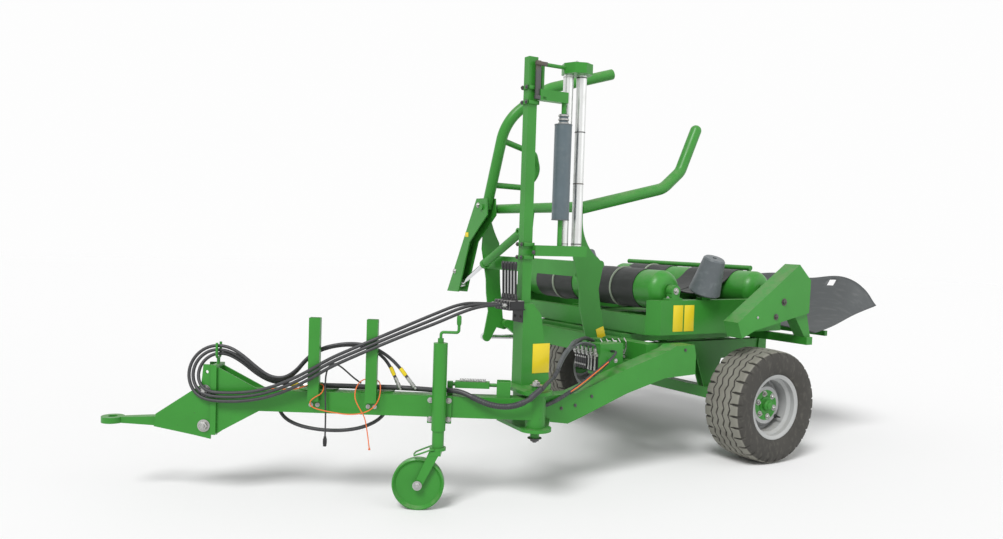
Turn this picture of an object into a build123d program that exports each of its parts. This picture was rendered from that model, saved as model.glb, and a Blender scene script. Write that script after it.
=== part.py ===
from build123d import *
import math
import os

# Trailed round-bale wrapper with a self-loading arm. Millimetres: X runs forward, Y to the left
# and Z up. Every place is given from the ground below the middle of the axle, and the last step
# moves the origin to the middle of the machine's footprint.

# ---------------------------------------------------------------- driving dimensions
running_gap = 0.1      # radial play of a shaft or pin in its bore
seat_gap = 0.3         # play between parts that move past each other
weld_plate = 12

# wheels and axle
tyre_diameter = 772
tyre_width = 330
tyre_wall = 15
rim_diameter = 406
rim_width = 280
rim_lip = 18
rim_sheet = 8
wheel_track = 2000
axle_square = 80
axle_half = 865
stub_radius = 28
hub_radius = 60
hub_flange_radius = 98
hub_cap_radius = 38
axle_height = tyre_diameter / 2

# chassis: two side beams, cross beams and a bent brace out to the drawbar pivot
beam_width = 70
beam_left_y = 480
beam_right_y = -560
beam_low = 630
beam_high = 765
chassis_rear = -600
front_beam_x = (860, 960)
front_beam_z = (690, 820)
brace_inner_y = 900
brace_width = 120
pivot_x = 2000
pivot_y = 1195
pivot_low = 443
pivot_high = 627
pivot_plate = 18
pivot_eye_radius = 90
king_pin_radius = 25

# tilting frame under the turntable
tilt_hinge_x = -540
tilt_low = 785
tilt_high = 840
tilt_front = 850
tilt_pin_radius = 15
tilt_beam_width = 68
tilt_range = 35

# turntable
table_x = 105
table_y = -160
table_low = 850
table_half_length = 675
table_half_width = 900
table_corner_cut = 80
table_wall = 70
table_side_height = 235
table_end_height = 125
roller_radius = 135
roller_spread = 460
roller_height = 1148
roller_half = 820
roller_dome = 60
roller_shaft_radius = 18
ring_offset = 360
belt_width = 235
belt_thickness = 5
belt_sag_height = 1110
cone_x = 175
cone_y = 870
cone_height = 1135
cone_lean = 20
cone_length = 260
cone_radii = (110, 75)
cone_post_radius = 15

# ramp arms and rubber mat
ramp_inner = 1095
ramp_width = 130
mat_thickness = 8

# mast and film unit
mast_x = 1960
mast_y = 980
mast_post = (60, 50)
mast_top = 2490
mast_shoulder = 1105
film_x = 1750
film_y = 1015
film_core_radius = 50
film_core_z = (1585, 2128)
film_shaft_radius = 14
stretch_radius = 30
stretch_pin_radius = 10
stretch_places = ((1682, 955), (1612, 990))
lower_arm_z = (1375, 1435)
upper_arm_z = (2250, 2310)
gear_cover_z = (2430, 2490)

# drawbar, measured along its own length from the pivot
drawbar_angle = 32.2
drawbar_width = 100
drawbar_low = 490
drawbar_high = 605
flange_s = 1730
flange_thick = 30
eye_s = 2320
eye_height = 409
eye_radius = 60
eye_hole = 25
eye_thick = 32
post_places = (890, 1200)
jack_s = 520
jack_radius = 38
jack_wall = 6
jack_wheel_radius = 140
jack_wheel_width = 50
jack_trail = 100

# loader
loader_x = 1080
loader_z = 805
loader_left_y = 554
loader_right_y = -646
loader_plate = 12
loader_pin_radius = 20
loader_tube_radius = 40
cross_tube_x = 1260
cross_tube_z = 1690
cross_tube_radius = 35
lift_eye = (1231, 699)
lift_base = (300, 660)
lift_y = -680
lift_pin_radius = 14
clamp_y = -500
clamp_z = 1700
clamp_lean = 19.6
clamp_x = 1350
clamp_gap = 64
clamp_base = (-10, 1520)
clamp_eye = (-850, 1105)

# tilt cylinder
ram_y = 150
ram_base = (-150, 560)
ram_eye = (250, 765)
ram_radius = 36
ram_pin_radius = 15

nodes = {}


# ---------------------------------------------------------------- shared shapes
def block(x, y, z):
    """Box between two X, two Y and two Z values."""
    spans = (x, y, z)
    middle = [(low + high) / 2 for low, high in spans]
    return Pos(*middle) * Box(*[abs(high - low) for low, high in spans])


def bar(start, end, radius, bore=0):
    """Round bar or tube between two points."""
    start = Vector(*start)
    along = Vector(*end) - start
    shape = Cylinder(radius, along.length, align=(Align.CENTER, Align.CENTER, Align.MIN))
    if bore:
        shape -= Cylinder(bore, along.length, align=(Align.CENTER, Align.CENTER, Align.MIN))
    return Plane(origin=start, z_dir=along) * shape


def side_plate(outline, y, thick):
    """Plate cut to an X-Z outline, lying from y to y + thick."""
    return extrude(Plane.XZ.offset(-y) * outline, amount=thick, dir=(0, 1, 0))


def cross_plate(outline, x, thick):
    """Plate cut to a Y-Z outline, lying from x to x + thick."""
    return extrude(Plane.YZ.offset(x) * outline, amount=thick, dir=(1, 0, 0))


def flat_plate(outline, z, thick):
    """Plate cut to an X-Y outline, lying from z to z + thick."""
    return extrude(Plane.XY.offset(z) * outline, amount=thick, dir=(0, 0, 1))


def shape_of(*points):
    """Closed outline through a few corner points."""
    return Polygon(*points, align=None)


def group(pieces):
    """Separate solids kept together in one node."""
    return Compound([solid for piece in pieces for solid in piece.solids()])


def bent_tube(points, radius, bends):
    """Round tube along straight runs joined by bends of the given radii."""
    path = FilletPolyline(*points, radius=bends)
    return sweep(Plane(origin=path @ 0, z_dir=path % 0) * Circle(radius), path=path)


def turned(profile):
    """Solid turned about the Y axis from a closed radius-and-width profile."""
    return revolve(profile, axis=Axis.Y)


def mirrored(shape):
    """The same shape on the other side of the X-Z plane."""
    return mirror(shape, about=Plane.XZ)


# ---------------------------------------------------------------- wheels and axle
def tyre():
    """Hollow balloon tyre, turned about Y."""
    crown = tyre_diameter / 2
    half = tyre_width / 2
    bead = rim_diameter / 2 + seat_gap
    foot = rim_width / 2 - 18
    mid = (crown + bead) / 2
    outer = [
        ThreePointArc((bead, foot), (mid, half), (crown - 26, half - 12)),
        Line((crown - 26, half - 12), (crown - 7, half - 36)),
        ThreePointArc((crown - 7, half - 36), (crown, 0), (crown - 7, 36 - half)),
        Line((crown - 7, 36 - half), (crown - 26, 12 - half)),
        ThreePointArc((crown - 26, 12 - half), (mid, -half), (bead, -foot)),
        Line((bead, -foot), (bead, tyre_wall - foot)),
        ThreePointArc((bead, tyre_wall - foot), (mid, tyre_wall - half),
                      (crown - 26 - tyre_wall, 30 - half)),
        Line((crown - 26 - tyre_wall, 30 - half), (crown - 26 - tyre_wall, half - 30)),
        ThreePointArc((crown - 26 - tyre_wall, half - 30), (mid, half - tyre_wall),
                      (bead, foot - tyre_wall)),
        Line((bead, foot - tyre_wall), (bead, foot)),
    ]
    return turned(make_face(outer))


def rim():
    """Drop-centre steel rim with a dished disc."""
    seat = rim_diameter / 2
    half = rim_width / 2
    well = seat - 18
    outside = [(seat + rim_lip, half), (seat, half - 8), (seat, half - 40), (well, half - 58)]
    outside += [(radius, -y) for radius, y in reversed(outside)]
    inside = [(radius - rim_sheet, y) for radius, y in reversed(outside)]
    barrel = turned(shape_of(*outside, *inside))
    disc_y = 45
    dish = turned(shape_of(
        (well - 2, -6), (well - 2, 4), (well - 26, 4), (well - 58, disc_y + 9), (hub_radius + 2, disc_y + 9),
        (hub_radius + 2, disc_y), (well - 62, disc_y), (well - 32, -6)))
    return barrel + dish


def hub():
    """Hub with its wheel flange and round grease cap, bored for the stub."""
    profile = shape_of(
        (0, 86), (hub_cap_radius - 8, 86), (hub_cap_radius, 78), (hub_cap_radius, 58), (hub_radius, 58),
        (hub_radius, 45), (hub_flange_radius, 45), (hub_flange_radius, 31), (hub_radius, 31),
        (hub_radius, -95), (stub_radius + running_gap, -95), (stub_radius + running_gap, 30), (0, 30))
    return turned(profile)


def build_wheels():
    for side, turn in (("left", False), ("right", True)):
        for name, piece in (("tyre", tyre()), ("wheel", rim() + hub())):
            placed = Pos(0, wheel_track / 2, axle_height) * piece
            nodes[f"{name}_{side}"] = mirrored(placed) if turn else placed


def build_axle():
    half = axle_square / 2
    beam = block((-half, half), (-axle_half, axle_half), (axle_height - half, axle_height + half))
    reach = wheel_track / 2 + 25
    stubs = bar((0, -reach, axle_height), (0, reach, axle_height), stub_radius)
    axle = beam + stubs
    for y in (beam_left_y, beam_right_y):
        for low in (y - beam_width / 2, y + beam_width / 2 - weld_plate):
            axle += side_plate(shape_of(
                (-120, beam_low), (120, beam_low), (half, axle_height + half),
                (-half, axle_height + half)), low, weld_plate)
    nodes["axle"] = axle


# ---------------------------------------------------------------- chassis
def build_chassis():
    half = beam_width / 2
    inner = (beam_right_y + half, beam_left_y - half)
    beams = []
    for y in (beam_left_y, beam_right_y):
        beam = block((chassis_rear, front_beam_x[0]), (y - half, y + half), (beam_low, beam_high))
        beams.append(beam + block((770, 830), (y - 25, y + 25), (beam_high, tilt_low - seat_gap)))
    beam_face = beam_right_y - half
    lift_x, lift_z = lift_base
    beams[1] += block((lift_x - 40, lift_x + 40), (beam_face - 12, beam_face), (beam_low, beam_high - 40))
    beams[1] += bar((lift_x, beam_face - 12, lift_z), (lift_x, lift_y - 22, lift_z), lift_pin_radius)

    # the second cross beam carries the fork of the tilt cylinder
    ram_x, ram_z = ram_base
    lug = shape_of((-260, 650), (-190, 650), (ram_x + 28, ram_z + 30), (ram_x + 28, ram_z - 25),
                   (ram_x - 30, ram_z - 25))
    ram_beam = block((-260, -190), inner, (650, 745))
    clear = ram_radius + 5
    for low in (ram_y - clear - 10, ram_y + clear):
        ram_beam += side_plate(lug, low, 10)
    ram_beam += bar((ram_x, ram_y - clear, ram_z), (ram_x, ram_y + clear, ram_z), ram_pin_radius)
    nodes["cross_beams"] = group([
        block((chassis_rear, chassis_rear + 60), (inner[0] + weld_plate, inner[1] - weld_plate), (650, 725)),
        ram_beam,
        block((430, 500), inner, (650, 745)),
        block((640, 700), (beam_left_y + half, brace_inner_y), (700, 758)),
        block(front_beam_x, (beam_right_y - half, brace_inner_y), front_beam_z),
    ])

    hinge_z = (tilt_low + tilt_high) / 2
    lug = Pos(tilt_hinge_x, hinge_z) * Circle(28) + shape_of(
        (tilt_hinge_x - 45, beam_low + 30), (tilt_hinge_x + 45, beam_low + 30),
        (tilt_hinge_x + 28, hinge_z), (tilt_hinge_x - 28, hinge_z))
    for index, y in enumerate((beam_left_y, beam_right_y)):
        beams[index] += bar((tilt_hinge_x, y - half - 22, hinge_z), (tilt_hinge_x, y + half + 22, hinge_z),
                            tilt_pin_radius)
        for low in (y - half - weld_plate, y + half):
            beams[index] += side_plate(lug, low, weld_plate)
    nodes["side_beams"] = group(beams)

    # brackets in front of the front beam carry the loader's two pivot pins
    brackets = []
    for inner_y, outer_y, tip_y in (
            (loader_left_y - 49, loader_left_y - 9, loader_left_y + loader_plate + 10),
            (loader_right_y + loader_plate + 49, loader_right_y + loader_plate + 9, loader_right_y - 10)):
        low, high = sorted((inner_y, outer_y))
        outline = shape_of(
            (front_beam_x[1], front_beam_z[0]), (loader_x, loader_z - 30), (loader_x, loader_z + 30),
            (front_beam_x[1], front_beam_z[1])) + Pos(loader_x, loader_z) * Circle(30)
        cheek = side_plate(outline, low, high - low)
        pin = bar((loader_x, inner_y, loader_z), (loader_x, tip_y, loader_z), loader_pin_radius)
        brackets.append(cheek + pin)
    nodes["loader_brackets"] = group(brackets)

    brace = side_plate(shape_of(
        (1800, 420), (1650, 395), (1560, 422), (1205, 543), (900, 618), (640, 628), (640, 755),
        (655, 820), (815, 820), (860, 795), (1212, 693), (1600, 568), (1800, 568)),
        brace_inner_y, brace_width)
    nodes["brace"] = brace

    # pivot head: an upper and a lower plate joined by a box, with the king pin through both
    outer_y = brace_inner_y + brace_width
    head_outline = shape_of(
        (1800, brace_inner_y - 10), (2060, brace_inner_y - 10), (pivot_x + pivot_eye_radius, pivot_y),
        (pivot_x - pivot_eye_radius, pivot_y), (1800, outer_y + 30)) + Pos(pivot_x, pivot_y) * Circle(pivot_eye_radius)
    upper = flat_plate(head_outline, pivot_high, pivot_plate)
    lower = flat_plate(head_outline, pivot_low - pivot_plate, pivot_plate)
    core = block((1800, 1960), (brace_inner_y, outer_y), (pivot_low, pivot_high))
    core += block((1962, 1978), (outer_y - 30, 1086), (528, 560)) + block((1940, 1978), (990, outer_y), (528, 560))
    core += start_gland("brace_hose", 18, 11)
    nodes["pivot_head"] = upper + lower + core + bar(
        (pivot_x, pivot_y, pivot_low - 60), (pivot_x, pivot_y, pivot_high + 45), king_pin_radius)


# ---------------------------------------------------------------- tilting frame, ramp arms and mat
def build_tilt_frame():
    half = tilt_beam_width / 2
    hinge_z = (tilt_low + tilt_high) / 2
    beams = []
    for y in (beam_left_y, beam_right_y):
        beam = block((tilt_hinge_x, tilt_front), (y - half, y + half), (tilt_low, tilt_high))
        beam += bar((tilt_hinge_x, y - half, hinge_z), (tilt_hinge_x, y + half, hinge_z), hinge_z - tilt_low)
        beam -= bar((tilt_hinge_x, y - half - 5, hinge_z), (tilt_hinge_x, y + half + 5, hinge_z),
                    tilt_pin_radius + running_gap)
        beams.append(beam)
    nodes["tilt_beams"] = group(beams)
    inner = (beam_right_y + half, beam_left_y - half)
    z = (tilt_low, tilt_high)

    # the middle bridge carries the slewing ring, the motor and the fork of the tilt cylinder
    bridge = block((-160, 370), inner, (800, tilt_high))
    bridge += Pos(table_x, table_y, 0) * (
        bar((0, 0, tilt_high), (0, 0, table_low - seat_gap), 240) + bar((0, 0, 690), (0, 0, 800), 62)
        + bar((0, 0, 650), (0, 0, 690), 48))
    eye_x, eye_z = ram_eye
    lug = shape_of((eye_x - 45, 800), (eye_x + 45, 800), (eye_x + 26, eye_z - 26), (eye_x - 26, eye_z - 26))
    for low in (ram_y - 40, ram_y + 30):
        bridge += side_plate(lug, low, 10)
    rear_x = (-440, -380)
    reach = ramp_inner + ramp_width
    nodes["tilt_cross_beams"] = group([
        bridge,
        block(rear_x, inner, z),
        block(rear_x, (beam_left_y + half, table_y + reach), z),
        block(rear_x, (table_y - reach, beam_right_y - half), z),
        block((790, tilt_front), inner, z),
    ])
    # rails behind the frame carry the bar that the mat is bolted to
    rail_z = (792, 832)
    carrier = block((-1030, -1000), (table_y - 900, table_y + 900), rail_z)
    for y in (table_y - 300, table_y + 300):
        carrier += block((-1000, rear_x[0]), (y - 20, y + 20), rail_z)
    nodes["mat_carrier"] = carrier


def build_ramp():
    outline = shape_of(
        (271, 853), (314, 960), (-276, 1352), (-399, 1242), (-393, 1011), (150, 902))
    foot = shape_of((-440, tilt_high), (-380, tilt_high), (-270, 987), (-393, 1011))
    arms = []
    for y in (table_y + ramp_inner, table_y - ramp_inner - ramp_width):
        arms.append(side_plate(outline, y, ramp_width) + side_plate(foot, y + 20, ramp_width - 40))
    nodes["ramp_arms"] = group(arms)
    # rows of the mat: distance from the table's middle line, foot x, foot z, middle x, z, edge x, z
    rows = (
        (-1075, -650, 842, -930, 960, -1200, 1200),
        (-540, -880, 842, -1000, 950, -1210, 1235),
        (0, -1015, 832 + seat_gap, -1085, 960, -1210, 1240),
        (540, -880, 842, -1000, 950, -1215, 1225),
        (1075, -650, 842, -930, 930, -1260, 1050),
    )
    sections = []
    for offset, foot_x, foot_z, mid_x, mid_z, edge_x, edge_z in rows:
        lower = [(foot_x, foot_z), (mid_x, mid_z), (edge_x, edge_z)]
        upper = [(px, pz + mat_thickness) for px, pz in reversed(lower)]
        sections.append(Plane.XZ.offset(-(table_y + offset)) * shape_of(*lower, *upper))
    nodes["ramp_mat"] = loft(sections, ruled=True)


# ---------------------------------------------------------------- turntable
def build_table():
    half_x = table_half_length
    half_y = table_half_width
    cut = table_corner_cut
    place = Pos(table_x, table_y, 0)
    side_top = table_low + table_side_height
    end_z = (table_low, table_low + table_end_height)
    inner = half_y - table_wall
    # each side box carries a bearing for each roller and the post of its cone roller
    sides = []
    side_y = half_y - table_wall / 2
    for sign in (1, -1):
        plan = shape_of(
            (cut - table_wall - half_x, sign * inner), (half_x - cut + table_wall, sign * inner),
            (half_x - cut, sign * half_y), (cut - half_x, sign * half_y))
        side = flat_plate(plan, table_low, table_side_height)
        y = sign * side_y
        for x in (-roller_spread, roller_spread):
            outline = shape_of(
                (x - 60, side_top), (x + 60, side_top), (x + 60, side_top + 14), (x + 34, side_top + 14),
                (x + 34, roller_height), (x - 34, roller_height), (x - 34, side_top + 14),
                (x - 60, side_top + 14)) + Pos(x, roller_height) * Circle(40)
            side += side_plate(outline, y - 28, 56)
            side += bar((x, y, roller_height), (x, sign * (roller_half - roller_dome), roller_height),
                        roller_shaft_radius)
        x = sign * cone_x
        side += block((x - 40, x + 40), (y - 30, y + 30), (side_top, side_top + 18))
        side += cone_seat(sign) * bar((0, 0, -42), (0, 0, cone_length - 20), cone_post_radius)
        sides.append(place * side)
    nodes["table_sides"] = group(sides)

    # the rear end beam carries the bar behind the rear roller
    front = block((half_x - 75, half_x), (-inner, inner), end_z)
    rear = block((-half_x, 75 - half_x), (-inner, inner), end_z)
    guard_x, guard_z = -605, 1300
    low_y, high_y = -870, 580
    rear += bar((guard_x, low_y, guard_z), (guard_x, high_y, guard_z), 20)
    for y in (low_y + 60, high_y - 40):
        rear += block((guard_x - 45, guard_x - 8), (y - 6, y + 6), (end_z[1], guard_z))
    nodes["table_ends"] = group([place * front, place * rear])

    spine = block((75 - half_x, half_x - 75), (-110, 110), (table_low, table_low + 90))
    spine += bar((0, 0, table_low), (0, 0, table_low + 90), 240)
    spine += block((-60, 60), (-inner, inner), (table_low, table_low + 70))
    nodes["table_spine"] = place * spine

    for name, sign in (("roller_front", 1), ("roller_rear", -1)):
        rest = roller_half - roller_dome
        profile = make_face([
            Line((roller_shaft_radius + running_gap, -roller_half), (50, -roller_half)),
            ThreePointArc((50, -roller_half), (roller_radius * 0.82, -rest - roller_dome * 0.62), (roller_radius, -rest)),
            Line((roller_radius, -rest), (roller_radius, rest)),
            ThreePointArc((roller_radius, rest), (roller_radius * 0.82, rest + roller_dome * 0.62), (50, roller_half)),
            Line((50, roller_half), (roller_shaft_radius + running_gap, roller_half)),
            Line((roller_shaft_radius + running_gap, roller_half), (roller_shaft_radius + running_gap, -roller_half)),
        ])
        drum = turned(profile)
        for y in (-ring_offset, ring_offset):
            drum += bar((0, y - 5, 0), (0, y + 5, 0), roller_radius + 14, roller_radius - 10)
        nodes[name] = place * Pos(sign * roller_spread, 0, roller_height) * drum
    nodes["belts"] = group([
        place * side_plate(belt_outline(), ring - 7 - belt_width if side < 0 else ring + 7, belt_width)
        for ring in (-ring_offset, ring_offset) for side in (-1, 1)])

    for name, sign in (("cone_left", 1), ("cone_right", -1)):
        bore = cone_post_radius + running_gap
        profile = shape_of(
            (bore, 0), (cone_radii[0] - 8, 0), (cone_radii[0], 10), (cone_radii[1], cone_length - 10),
            (cone_radii[1] - 10, cone_length), (bore, cone_length))
        nodes[name] = place * cone_seat(sign) * revolve(Plane.XZ * profile, axis=Axis.Z)


def cone_seat(sign):
    """Place of a cone roller's base: leaning outwards over one side box."""
    return Pos(sign * cone_x, sign * cone_y, cone_height) * Rot(-sign * cone_lean, 0, 0)


def belt_outline():
    """Endless belt round both rollers, its upper run sagging into a cradle."""
    inner = roller_radius + seat_gap
    outer = inner + belt_thickness
    mean = (inner + outer) / 2
    drop = roller_height - belt_sag_height
    sag = (roller_spread ** 2 + drop ** 2 - mean ** 2) / (2 * (mean + drop))
    centre_z = belt_sag_height + sag
    reach = sag + mean
    away_x = roller_spread / reach
    away_z = (centre_z - roller_height) / reach
    loops = []
    for radius, bend in ((outer, sag + mean - outer), (inner, sag + mean - inner)):
        right = (roller_spread - radius * away_x, roller_height + radius * away_z)
        left = (-right[0], right[1])
        tip = roller_spread + radius
        loops.append(make_face([
            Line((-roller_spread, roller_height - radius), (roller_spread, roller_height - radius)),
            arc_about((roller_spread, roller_height), radius, -90, math.degrees(math.atan2(away_z, -away_x))),
            ThreePointArc(right, (0, centre_z - bend), left),
            arc_about((-roller_spread, roller_height), radius, math.degrees(math.atan2(away_z, away_x)), 270),
        ]))
    return loops[0] - loops[1]


def arc_about(centre, radius, start, end):
    """Arc about a centre from one angle to another, in degrees."""
    angles = [math.radians(start + (end - start) * part) for part in (0, 0.5, 1)]
    return ThreePointArc(*[
        (centre[0] + radius * math.cos(a), centre[1] + radius * math.sin(a)) for a in angles])


# ---------------------------------------------------------------- mast and film unit
def build_mast():
    half_x, half_y = mast_post[0] / 2, mast_post[1] / 2
    foot = pivot_high + pivot_plate
    rear = mast_x - half_x
    mast = side_plate(shape_of(
        (1800, foot), (1995, foot), (1995, mast_shoulder), (rear, mast_shoulder), (1872, 1040)),
        mast_y - 45, 100)
    mast += block((rear, mast_x + half_x), (mast_y - half_y, mast_y + half_y), (mast_shoulder, mast_top))
    mast += block((film_x - 12, rear), (film_y - 25, film_y + 25), upper_arm_z)
    mast += bar((1893, mast_y + 12, upper_arm_z[1]), (1893, mast_y + 12, 2445), 14)
    nodes["mast"] = mast

    lower = block((1570, rear), (mast_y - 60, film_y + 25), lower_arm_z)
    lower += bar((film_x, film_y, lower_arm_z[1]), (film_x, film_y, upper_arm_z[0]), film_shaft_radius)
    for x, y in stretch_places:
        lower += bar((x, y, lower_arm_z[1]), (x, y, lower_arm_z[1] + 45), stretch_pin_radius)
    nodes["film_arm"] = lower
    cover = flat_plate(Pos(1640, mast_y) * RegularPolygon(92, 8), gear_cover_z[0],
                       gear_cover_z[1] - gear_cover_z[0])
    for x, y in stretch_places:
        cover += bar((x, y, gear_cover_z[0] - 40), (x, y, gear_cover_z[0]), stretch_pin_radius)
    cover += bar((1640, mast_y, 2462), (rear, mast_y, 2462), 11)
    nodes["gear_cover"] = cover

    core = bar((0, 0, film_core_z[0]), (0, 0, film_core_z[1]), film_core_radius,
               film_shaft_radius + running_gap)
    core += bar((0, 0, film_core_z[1]), (0, 0, film_core_z[1] + 60), 26, film_shaft_radius + running_gap)
    nodes["film_core"] = Pos(film_x, film_y, 0) * core
    for name, (x, y) in zip(("stretch_roller_front", "stretch_roller_rear"), stretch_places):
        low = lower_arm_z[1] + seat_gap
        high = gear_cover_z[0] - seat_gap
        nodes[name] = bar((x, y, low), (x, y, high), stretch_radius, stretch_pin_radius + running_gap)


def build_valves():
    bank = block((2010, 2100), (895, 1065), (1078, 1122))
    for index in range(5):
        y = 915 + 32 * index
        bank += bar((2055, y, 1122), (2062, y, 1330), 7)
        bank += block((2100, 2120), (y - 10, y + 10), (1088, 1110))
    bank += block((1995, 2100), (905, 1055), (1070, 1078)) + block((1995, 2003), (935, 1035), (1000, 1078))
    for name in ("hose_outer", "hose_middle", "hose_inner"):
        bank += drawbar_place * start_gland(name, 12, 10.5)
    nodes["lever_bank"] = bank
    inner = brace_inner_y
    box = block((1150, 1330), (780, inner), (640, 835)) - block((1158, 1322), (772, inner - 8), (648, 827))
    box -= bar((1315, 838, 738), (1340, 838, 738), 20)
    valves = block((front_beam_x[1], 1300), (625, 772), (700, 706))
    for index in range(5):
        x = 1010 + 48 * index
        valves += block((x, x + 44), (640, 755), (706, 790)) + bar((x + 22, 700, 790), (x + 22, 700, 812), 13)
    valves += block((1190, 1256), (685, 765), (806, 850)) + end_gland("feed_bundle", 22, 15)
    box += end_gland("brace_hose", 16, 11)
    nodes["valve_block"] = group([box, valves])


# ---------------------------------------------------------------- drawbar, jack and tow eye
drawbar_place = Pos(pivot_x, pivot_y, 0) * Rot(0, 0, -drawbar_angle)


def build_drawbar():
    half = drawbar_width / 2
    boss = bar((0, 0, pivot_low + seat_gap), (0, 0, pivot_high - seat_gap), 55)
    beam = block((0, flange_s), (-half, half), (drawbar_low, drawbar_high)) + boss
    for y in (-half, half - 10):
        beam += side_plate(shape_of((1500, drawbar_high), (flange_s, drawbar_high), (flange_s, 722)), y, 10)
        beam += side_plate(shape_of((1500, drawbar_low), (flange_s, drawbar_low), (flange_s, 360)), y, 10)
    for s in post_places:
        beam += bar((s, -65, drawbar_high), (s, -65, drawbar_high + 6), 110)
    for y in (-40, 28):
        beam += block((140, 215), (y, y + 12), (drawbar_high, 690))
    beam += bar((190, -40, 665), (190, 40, 665), 12)
    # clips that hold the ends of the hose below, of the bundle on top and of the thin cord
    for s in (806, 1440):
        beam += block((s - 16, s + 16), (-82, -half), (552, 578))
    beam += block((1184, 1198), (-43, -23), (drawbar_high, 620))
    beam += block((1487, 1502), (27, 41), (drawbar_high, 612))
    beam += start_gland("under_hose", 14, 12) + end_gland("under_hose", 14, 12)
    beam += start_gland("beam_bundle", 26, 17) + start_gland("orange_cord", 18, 5)
    beam -= bar((0, 0, pivot_low - 5), (0, 0, pivot_high + 5), king_pin_radius + running_gap)
    nodes["drawbar_beam"] = drawbar_place * beam

    front = flange_s + flange_thick
    hitch = block((flange_s, front), (-68, 68), (355, 734))
    cheek = shape_of((front, 735), (front + 45, 735), (front + 55, 625), (front + 300, 458), (front + 310, 389),
                     (front + 90, 349), (front, 330))
    for y in (-56, 44):
        hitch += side_plate(cheek, y, weld_plate)
    hitch -= bar((front + 25, -80, 695), (front + 25, 80, 695), 9)
    holder_x = flange_s + flange_thick / 2
    hitch += bent_tube(((holder_x, -38, 850), (holder_x, -38, 768), (holder_x, 24, 768), (holder_x, 24, 850)),
                       7, (20, 20))
    hitch += bar((holder_x, -7, 730), (holder_x, -7, 765), 9)
    nodes["hitch_head"] = drawbar_place * hitch
    shank_start = front + 60
    shank = loft([
        Plane(origin=(shank_start, 0, eye_height + 8), x_dir=(0, 1, 0), z_dir=(1, 0, 0)) * Rectangle(88, 70),
        Plane(origin=(eye_s - eye_radius + 12, 0, eye_height), x_dir=(0, 1, 0), z_dir=(1, 0, 0)) * Rectangle(46, eye_thick),
    ])
    ring = bar((eye_s, 0, eye_height - eye_thick / 2), (eye_s, 0, eye_height + eye_thick / 2), eye_radius)
    eye = shank + ring - bar((eye_s, 0, eye_height - 40), (eye_s, 0, eye_height + 40), eye_hole)
    nodes["tow_eye"] = drawbar_place * eye

    posts = []
    for s in post_places:
        post = block((s - 30, s + 30), (half, half + 40), (560, 1010))
        post -= block((s - 26, s + 26), (half + 4, half + 36), (620, 1020))
        posts.append(post)
    nodes["stake_posts"] = drawbar_place * group(posts)
    frame_z = (648, 682)
    turnbuckle = block((255, 272), (-26, 26), frame_z) + block((425, 442), (-26, 26), frame_z)
    turnbuckle += block((272, 425), (-26, -14), frame_z) + block((272, 425), (14, 26), frame_z)
    turnbuckle += bar((202 + seat_gap, 0, 665), (290, 0, 665), 10) + bar((400, 0, 665), (470, 0, 665), 10)
    turnbuckle += block((455, 485), (-14, 14), (drawbar_high, 680))
    nodes["turnbuckle"] = drawbar_place * turnbuckle


def build_jack():
    half = drawbar_width / 2
    y = half + weld_plate + jack_radius
    bore = jack_radius - jack_wall
    clamp = block((jack_s - 65, jack_s + 65), (half, half + weld_plate + 4), (460, 610))
    outer = bar((jack_s, y, 430), (jack_s, y, 900), jack_radius)
    hollow = bar((jack_s, y, 430), (jack_s, y, 880), bore)
    housing = clamp + outer - hollow
    crank = bent_tube(((jack_s, y, 900), (jack_s, y, 958), (jack_s - 95, y, 958), (jack_s - 95, y, 1050)), 8, (14, 14))
    housing += crank + bar((jack_s, y, 895), (jack_s, y, 925), 16)
    nodes["jack_housing"] = drawbar_place * housing

    leg = bar((jack_s, y, 340), (jack_s, y, 700), bore - 0.08)
    leg += bar((jack_s, y, 322), (jack_s, y, 340), 14)
    nodes["jack_leg"] = drawbar_place * leg
    wheel_s = jack_s + jack_trail
    fork = bar((jack_s, y, 324), (jack_s, y, 340 - seat_gap), 44)
    fork += block((jack_s - 20, jack_s + 40), (y - 44, y + 44), (300, 324))
    for side in (-1, 1):
        low = y + side * 38 - 4
        fork += side_plate(shape_of(
            (jack_s - 20, 324), (jack_s + 40, 324), (wheel_s + 22, 132), (wheel_s + 16, 118),
            (wheel_s - 16, 118), (wheel_s - 22, 132)), low, 8)
    fork -= bar((jack_s, y, 300), (jack_s, y, 345), 14 + running_gap)
    fork += bar((wheel_s, y - 48, jack_wheel_radius), (wheel_s, y + 48, jack_wheel_radius), 10)
    nodes["jack_fork"] = drawbar_place * fork
    wide = jack_wheel_width / 2
    wheel = turned(shape_of(
        (10 + running_gap, -32), (26, -32), (26, -12), (jack_wheel_radius - 22, -10), (jack_wheel_radius - 8, -wide),
        (jack_wheel_radius, -wide + 5), (jack_wheel_radius, wide - 5), (jack_wheel_radius - 8, wide),
        (jack_wheel_radius - 22, 10), (26, 12), (26, 32), (10 + running_gap, 32)))
    nodes["jack_wheel"] = drawbar_place * Pos(wheel_s, y, jack_wheel_radius) * wheel


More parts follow.
